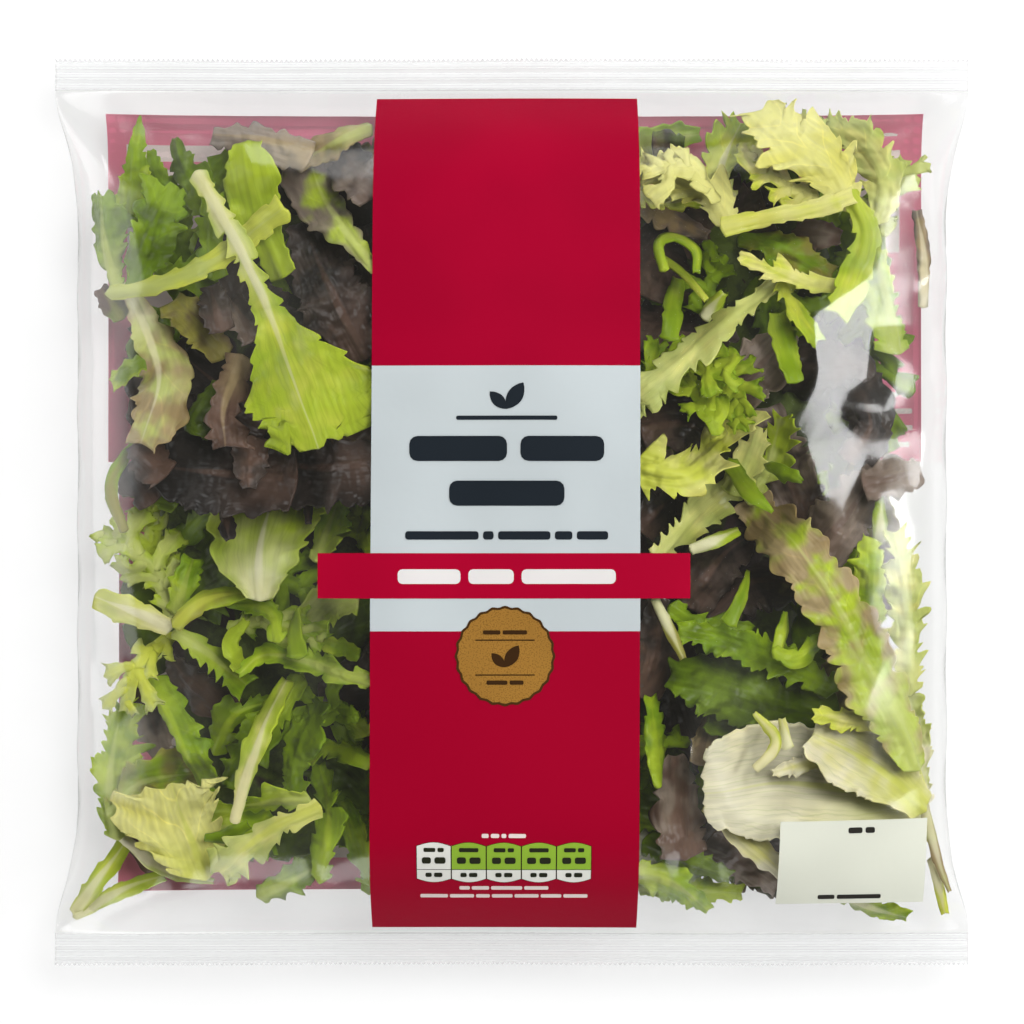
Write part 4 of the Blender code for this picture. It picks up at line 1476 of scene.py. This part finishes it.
LOWER_RIGHT = [
    leaf("stem", "lemon butter lemon", [(61, 21), (58, 29), (53, 36)], (2.8, 2.4, 1)),
    leaf("antler", "lemon butter lemon", [(35, 13), (48, 11), (56, 15), (64, 24), (71, 37)],
         (11, 10, 8, 10, 11, 8), (9, 9, 8, 10, 10, 7), fine=1.5),
    leaf("stem", "lime leaf leaf", [(64, 15), (69, 6), (75, 0)], (2.5, 3.4, 0.4)),
    leaf("antler", "leaf moss leaf", [(75, 14), (84, 9)], (1.5, 3, 0.5)),
    leaf("fan", "sage butter sage", [(64, 5), (69, 14), (73, 25)], (3, 5, 6, 4), (4, 8, 7, 4), blunt=True),
    leaf("antler", "sage lime sage", [(70, 2), (76, 14), (80, 28)], (4, 7, 7, 4), fine=1.3),
    leaf("stem", "sage lime", [(51, -11), (60, -8), (66, -6)], (1.5, 2.2, 1)),
    leaf("fan", "butter sage sage", [(41, -14), (52, -2), (65, 8)], (3.5, 5, 7, 6), (3, 7, 9, 7), fine=1.4),
    leaf("stem", "lemon olive", [(41, -25), (45, -33), (49, -42)], (1, 2, 1)),
    leaf("stem", "butter lemon", [(70, -74.5), (75.5, -69), (75.5, -64), (70, -58)], (1, 1.8, 1.8, 0.5)),
    leaf("stem", "lemon butter", [(80, -69), (78.5, -60)], (2, 1.4, 1)),
    leaf("oak", "lime tan sage", [(119, -76), (113, -62), (104, -46), (96, -30), (84, -12), (71, 4)],
         (4, 10, 11, 10, 9, 10, 6), (3, 8, 10, 10, 8, 9, 5), blunt=True, fine=1.5),
    leaf("antler", "butter lemon butter", [(112, -64), (102, -61), (88, -59)], (3, 5, 5, 2), fine=1.4),
    leaf("heart", "butter cream lemon", [(121, -88), (112, -79), (101, -72), (88, -65)], (4, 9, 11, 10, 6),
         (5, 10, 12, 11, 6), fine=1.6, ruffle=0.5),
    leaf("antler", "butter cream butter", [(96, -70), (86, -74), (76, -76)], (1.5, 3, 3, 1), fine=1.5),
    leaf("heart", "cream cream lemon", [(122, -80), (100, -82), (78, -80), (58, -81)], (13, 16, 17, 16, 11),
         (10, 15, 19, 20, 14), blunt=True, ruffle=0.6, fine=1.6),
    leaf("heart", "butter cream butter", [(56, -85), (66, -94), (79, -105)], (2, 3.6, 4, 3), (2, 3, 4, 3)),
    leaf("batavia", "leaf lime leaf", [(103, -49), (105, -28), (105, -7)], (5, 8, 8, 7, 6), (4, 5, 6, 6, 5),
         curl=0.6, blunt=True, fine=1.2),
    leaf("curly", "butter sage sage", [(117, -54), (116, -28), (112, -6)], (4, 7, 8, 7, 4), (4, 8, 9, 8, 4),
         fine=1.3),
    leaf("curly", "cream sage", [(121, -88), (119, -68), (113, -50)], (7, 8, 7, 3), (5, 7, 7, 4), fine=1.3),
    leaf("stem", "leaf lime leaf", [(62, -33), (66, -25), (69, -18)], (2.6, 2, 0.6)),
    leaf("antler", "lime leaf lime", [(75, -40), (82, -42), (91, -36)], (2, 4, 1)),
    leaf("stem", "lime leaf lime", [(77, -41), (78.5, -35), (79.5, -29)], (1.8, 2, 0.5)),
    leaf("batavia", "moss leaf leaf", [(96, -52), (80, -44), (62, -37), (48, -34)], (4, 7, 7, 4),
         (4, 6, 6, 3), fine=1.4),
    leaf("antler", "leaf moss leaf", [(45, -27), (56, -33), (70, -35)], (3, 6, 6, 2), (3, 5, 6, 2)),
    leaf("batavia", "forest moss moss", [(97, -60), (78, -56), (60, -50), (46, -47)], (6, 12, 12, 6),
         (6, 9, 9, 5), fine=1.4),
    leaf("batavia", "forest moss moss", [(92, -64), (74, -64), (57, -61)], (5, 7, 3), (5, 6, 3)),
    leaf("lollo", "tan brown", [(54, -74), (59, -59)], (2.5, 4, 1)),
    leaf("antler", "lime leaf lime", [(42, -80), (41, -68), (40, -54)], (1, 3, 3, 2), (1, 4, 4, 2)),
    leaf("lollo", "brown mauve", [(50, -101), (48, -86), (48, -72)], (7, 8, 7, 3)),
    leaf("batavia", "lime leaf sage", [(35, -104), (48, -109), (58, -117)], (4, 6, 4, 1.5), (4, 7, 5, 1.5)),
    leaf("batavia", "leaf moss leaf", [(38, -96), (52, -102), (64, -107)], (4, 7, 6, 2)),
    leaf("lollo", "brown mauve", [(57, -97), (68, -103), (78, -110)], (5, 7, 7, 3), (5, 7, 6, 3)),
    leaf("batavia", "leaf lime sage", [(37, -110), (52, -112), (68, -113)], (3, 6, 6, 3), (3, 5, 4, 2)),
    leaf("curly", "forest brown moss", [(60, -104), (72, -110), (84, -112)], (3, 6, 6, 3), (3, 5, 4, 2)),
    leaf("lollo", "ink plum", [(50, -102), (64, -98), (82, -93)], (6, 9, 10, 5), (6, 10, 10, 6), sunk=2),
    leaf("batavia", "forest moss", [(35, -98), (48, -102), (64, -106)], (6, 9, 8, 4), (6, 8, 6, 3), sunk=2),
    leaf("lollo", "plum ink", [(97, 15), (104, 24), (103, 32)], (3, 5, 3)),
    leaf("lollo", "mauve mauve", [(102, 8), (112, 10), (120, 12)], (5, 7, 3)),
    leaf("stem", "lime leaf", [(108, -9), (108, 5)], (2, 2.4, 1)),
    leaf("lollo", "mauve mauve", [(89, -13), (100, 2), (107, 12)], (8, 9, 8, 4)),
    leaf("lollo", "plum mauve", [(91, -8), (82, 12), (76, 31)], (7, 9, 8, 4)),
    leaf("lollo", "ink plum", [(37, 24), (51, 26), (60, 21)], (6, 8, 7, 3), sunk=0.8),
    leaf("lollo", "ink ink", [(36, -5), (47, 5)], (6, 7, 3), (6, 6, 3)),
    leaf("lollo", "brown plum", [(37, -54), (42, -40), (42, -25)], (6, 7, 7, 3), (6, 8, 7, 3)),
    leaf("lollo", "ink plum", [(50, -27), (60, -15), (71, -7)], (8, 9, 8, 3)),
    leaf("lollo", "plum ink", [(55, -31), (72, -21), (88, -23)], (6, 9, 8, 4)),
    leaf("batavia", "leaf lime", [(97, -112), (107, -117), (117, -120)], (3, 5, 2.5), (3, 4, 2.5)),
    leaf("stem", "sage tan", [(122, -86), (126, -103), (130, -112)], (1.5, 2.2, 0.8)),
    leaf("stem", "butter lemon", [(124, -103), (127, -112), (128.5, -119)], (1, 1.6, 1.2)),
]

# What grows where, for the leaves that fill in behind: the middle of each zone, its kinds and their hues.
DARK = ("lollo", ("plum", "ink"))
RED = ("lollo", ("brown", "plum"))
GREEN = ("batavia", ("moss", "leaf"))
DEEP = ("batavia", ("forest", "moss"))
SPIKY = ("frisee", ("leaf", "moss"))
PALE = ("curly", ("lime", "sage"))
MIXED = ("oak", ("olive", "mauve"))
ZONES = [
    ((-100, 80), (GREEN, DEEP, GREEN)),
    ((-60, 85), (DARK, MIXED, DARK)),
    ((-85, 20), (DARK, DARK, RED)),
    ((-100, -30), (SPIKY, DARK, DEEP)),
    ((-60, -45), (DEEP, SPIKY, DARK)),
    ((-90, -90), (SPIKY, GREEN, RED)),
    ((-50, -95), (DEEP, SPIKY, DEEP)),
    ((50, 85), (DARK, DEEP, RED)),
    ((90, 85), (SPIKY, PALE, GREEN)),
    ((52, 38), (SPIKY, GREEN, SPIKY)),
    ((88, 25), (DARK, DARK, SPIKY)),
    ((50, -15), (DARK, GREEN, DARK)),
    ((65, -45), (GREEN, SPIKY, DARK)),
    ((105, -40), (GREEN, PALE, MIXED)),
    ((60, -95), (DARK, GREEN, DEEP)),
    ((105, -100), (GREEN, MIXED, DARK)),
    ((0, 0), (GREEN, SPIKY, MIXED, DARK)),
]


def fill_leaves(layer, other, count, seed, limits, deepest):
    """Leaves that fill in where least has been laid, within limits across and along, in millimetres.

    Each is sunk by up to deepest. Returns (piece name, object) pairs.
    """
    rng = random.Random(seed)
    noise = np.random.default_rng(seed)
    edge, end = limits[0] - 7, limits[1] - 4
    across, along = np.meshgrid(MAP_X, MAP_Y)
    allowed = (np.abs(across) < limits[0] * MM) & (np.abs(along) < limits[1] * MM)
    # The heap leaves the bag's two top corners free.
    allowed &= ~((across > 92 * MM) & (along > 82 * MM)) & ~((across < -88 * MM) & (along > 94 * MM))
    grown = []
    for number in range(count):
        gone = spread(spread(layer.covered(), 6, 0), 6, 1) / MM
        score = np.where(allowed, gone + noise.uniform(0.0, 3.0, gone.shape), 1e6)
        row, column = np.unravel_index(np.argmin(score), score.shape)
        x, y = MAP_X[column] / MM, MAP_Y[row] / MM
        kind, (hue, rim) = rng.choice(min(ZONES, key=lambda zone: math.dist(zone[0], (x, y)))[1])
        turn, length = rng.uniform(0, TURN), rng.uniform(38, 66)
        spine = []
        for share, sway in ((-0.5, 0.0), (0.0, rng.uniform(-5, 5)), (0.5, 0.0)):
            far = length * share
            spine.append((float(np.clip(x + far * math.cos(turn) - sway * math.sin(turn), -edge, edge)),
                          float(np.clip(y + far * math.sin(turn) + sway * math.cos(turn), -end, end))))
        wide = length * rng.uniform(0.16, 0.25)
        outline = [wide * share for share in KINDS[kind].profile]
        piece = grow_leaf(layer, other, kind, (hue, rim, hue), spine, outline, outline, fine=0.62,
                          sunk=rng.uniform(0.0, deepest), curl=rng.choice((0.0, 0.6)), seed=seed + number)
        grown.append((PIECE_OF_KIND[kind], piece))
    return grown


CORE_HALF_WIDTH = 106 * MM
CORE_HALF_LENGTH = 100 * MM


def make_core(front, back):
    """A lumpy heap of tightly packed leaves in the middle, seen only through small gaps."""
    everything = (slice(0, len(MAP_Y)), slice(0, len(MAP_X)))
    top = front.calm(everything, 4) - 1.0 * MM
    bottom = -(back.calm(everything, 4) - 1.0 * MM)
    piece, spots, upper = double_sheet("leaf_core", 90, 86)
    x, y = spots[:, 0] * CORE_HALF_WIDTH, spots[:, 1] * CORE_HALF_LENGTH
    x, y = x * np.sqrt(1 - 0.25 * spots[:, 1] ** 2), y * np.sqrt(1 - 0.25 * spots[:, 0] ** 2)
    high, low = read_map(top, everything, x, y), read_map(bottom, everything, x, y)
    fold = 1.6 * MM * np.sin(x * 420 + 3 * np.sin(y * 150)) * np.sin(y * 380 + 2 * np.sin(x * 130))
    middle = (high + low) / 2
    rim = np.clip(np.maximum(np.abs(spots[:, 0]), np.abs(spots[:, 1])), 0, 1)
    closing = np.sqrt(1 - rim**6) + 0.02
    half = np.maximum((high - low) / 2 - 1.6 * MM, 0.4 * MM) * closing
    z = middle + np.where(upper, half, -half) + fold * closing
    z = np.clip(z, back_film(x, y) + FILM_GAP, front_film(x, y) - FILM_GAP)
    move_points(piece, np.stack([x, y, z], axis=1))
    recalculate(piece)
    piece.data.shade_smooth()
    finish_piece(piece, core_material())


def core_material():
    material, n, shader, _ = new_material("packed_leaves")
    place = n.add("ShaderNodeTexCoord").outputs["Object"]
    blotch = n.noise(place, 90.0, 4.0, 0.6)
    shade = n.mix(n.ramp(blotch, 0.4, 0.62), srgb(52, 60, 28), srgb(88, 104, 36))
    shade = n.mix(n.ramp(n.noise(place, 45.0, 2.0), 0.55, 0.6), shade, srgb(48, 34, 36))
    n.link(shade, shader.inputs["Base Color"])
    shader.inputs["Roughness"].default_value = 0.6
    n.link(n.bump(n.noise(place, 320.0, 3.0), 0.0008), shader.inputs["Normal"])
    return material


def make_leaves():
    front = Layer(front_film, 1)
    back = Layer(back_film, -1)
    grown = {name: [] for name in ("frisee", "heart", "batavia", "lollo", "oak")}
    placed = UPPER_LEFT + LOWER_LEFT + UPPER_RIGHT + LOWER_RIGHT
    for number, (kind, hues, spine, left, right, look) in enumerate(placed):
        piece = grow_leaf(front, back, kind, hues, spine, left, right, seed=number + 1, **look)
        grown[PIECE_OF_KIND[kind]].append(piece)
    filled = fill_leaves(front, back, 74, 500, (112, 104), 3.0)
    filled += fill_leaves(back, front, 40, 900, (108, 100), 0.5)
    for name, piece in filled:
        grown[name].append(piece)
    skins = leaf_materials()
    for name, leaves in grown.items():
        piece = join(leaves, "leaves_" + name)
        piece.vertex_groups.clear()
        finish_piece(piece, skins[name])
    make_core(front, back)


# ---------------------------------------------------------------- stage


def make_stage():
    bpy.ops.mesh.primitive_plane_add(size=6.0, location=(0, 0, 0))
    floor = name_piece("floor")
    material, _, shader, _ = new_material("pale_floor")
    shader.inputs["Base Color"].default_value = (0.42, 0.42, 0.42, 1.0)
    shader.inputs["Roughness"].default_value = 0.9
    shader.inputs["Specular IOR Level"].default_value = 0.1
    shader.inputs["Emission Color"].default_value = (1.0, 1.0, 1.0, 1.0)
    shader.inputs["Emission Strength"].default_value = 0.6
    floor.data.materials.append(material)


def add_softbox(name, zenith, turn, distance, size, power):
    """A square lamp that faces the bag, zenith degrees down from straight above it."""
    tilt, heading = math.radians(zenith), math.radians(turn)
    place = (
        distance * math.sin(tilt) * math.cos(heading),
        distance * math.sin(tilt) * math.sin(heading),
        distance * math.cos(tilt),
    )
    bpy.ops.object.light_add(type="AREA", location=place, rotation=(0.0, tilt, heading))
    lamp = bpy.context.object
    lamp.name = name
    lamp.data.shape = "SQUARE"
    lamp.data.size = size
    lamp.data.energy = power
    return lamp


def light_stage():
    """Soft lamps all round, and a room that is dim straight overhead, where flat film would mirror it."""
    world = bpy.data.worlds.new("studio")
    world.use_nodes = True
    n = Nodes(world.node_tree)
    place = n.add("ShaderNodeTexCoord").outputs["Generated"]
    split = n.add("ShaderNodeSeparateXYZ")
    n.link(place, split.inputs[0])
    background = world.node_tree.nodes["Background"]
    n.link(n.ramp(split.outputs["Z"], 0.72, 0.93, 0.34, 0.17), background.inputs["Strength"])
    bpy.context.scene.world = world
    add_softbox("lamp_right", 57, 4, 1.4, 0.42, 6.8)
    add_softbox("lamp_left", 68, 172, 1.4, 0.8, 6.0)
    add_softbox("lamp_top", 65, 96, 1.4, 0.8, 5.5)
    add_softbox("lamp_bottom", 66, 262, 1.4, 0.8, 7.0)
    overhead = add_softbox("lamp_overhead", 26, 48, 1.3, 0.7, 12.5)
    overhead.visible_glossy = False


def add_camera():
    view_width = 302 * MM
    data = bpy.data.cameras.new("camera")
    data.lens = 135.0
    data.sensor_width = 36.0
    distance = view_width / 2 / (data.sensor_width / 2 / data.lens)
    camera = bpy.data.objects.new("camera", data)
    bpy.context.scene.collection.objects.link(camera)
    camera.location = (0.0, 0.0, SEAM_HEIGHT + distance)
    bpy.context.scene.camera = camera
    bpy.context.scene.view_settings.view_transform = "Standard"
    cycles = bpy.context.scene.cycles
    cycles.max_bounces = 2
    cycles.diffuse_bounces = 1
    cycles.glossy_bounces = 1
    cycles.transparent_max_bounces = 8
    cycles.use_light_tree = False
    cycles.caustics_reflective = False
    cycles.caustics_refractive = False


make_leaves()
make_film()
make_end_seals()
make_panel()
make_field()
make_banner()
make_field_marks()
make_badge()
make_cells()
make_date_label()
make_back_print()
make_stage()
light_stage()
add_camera()
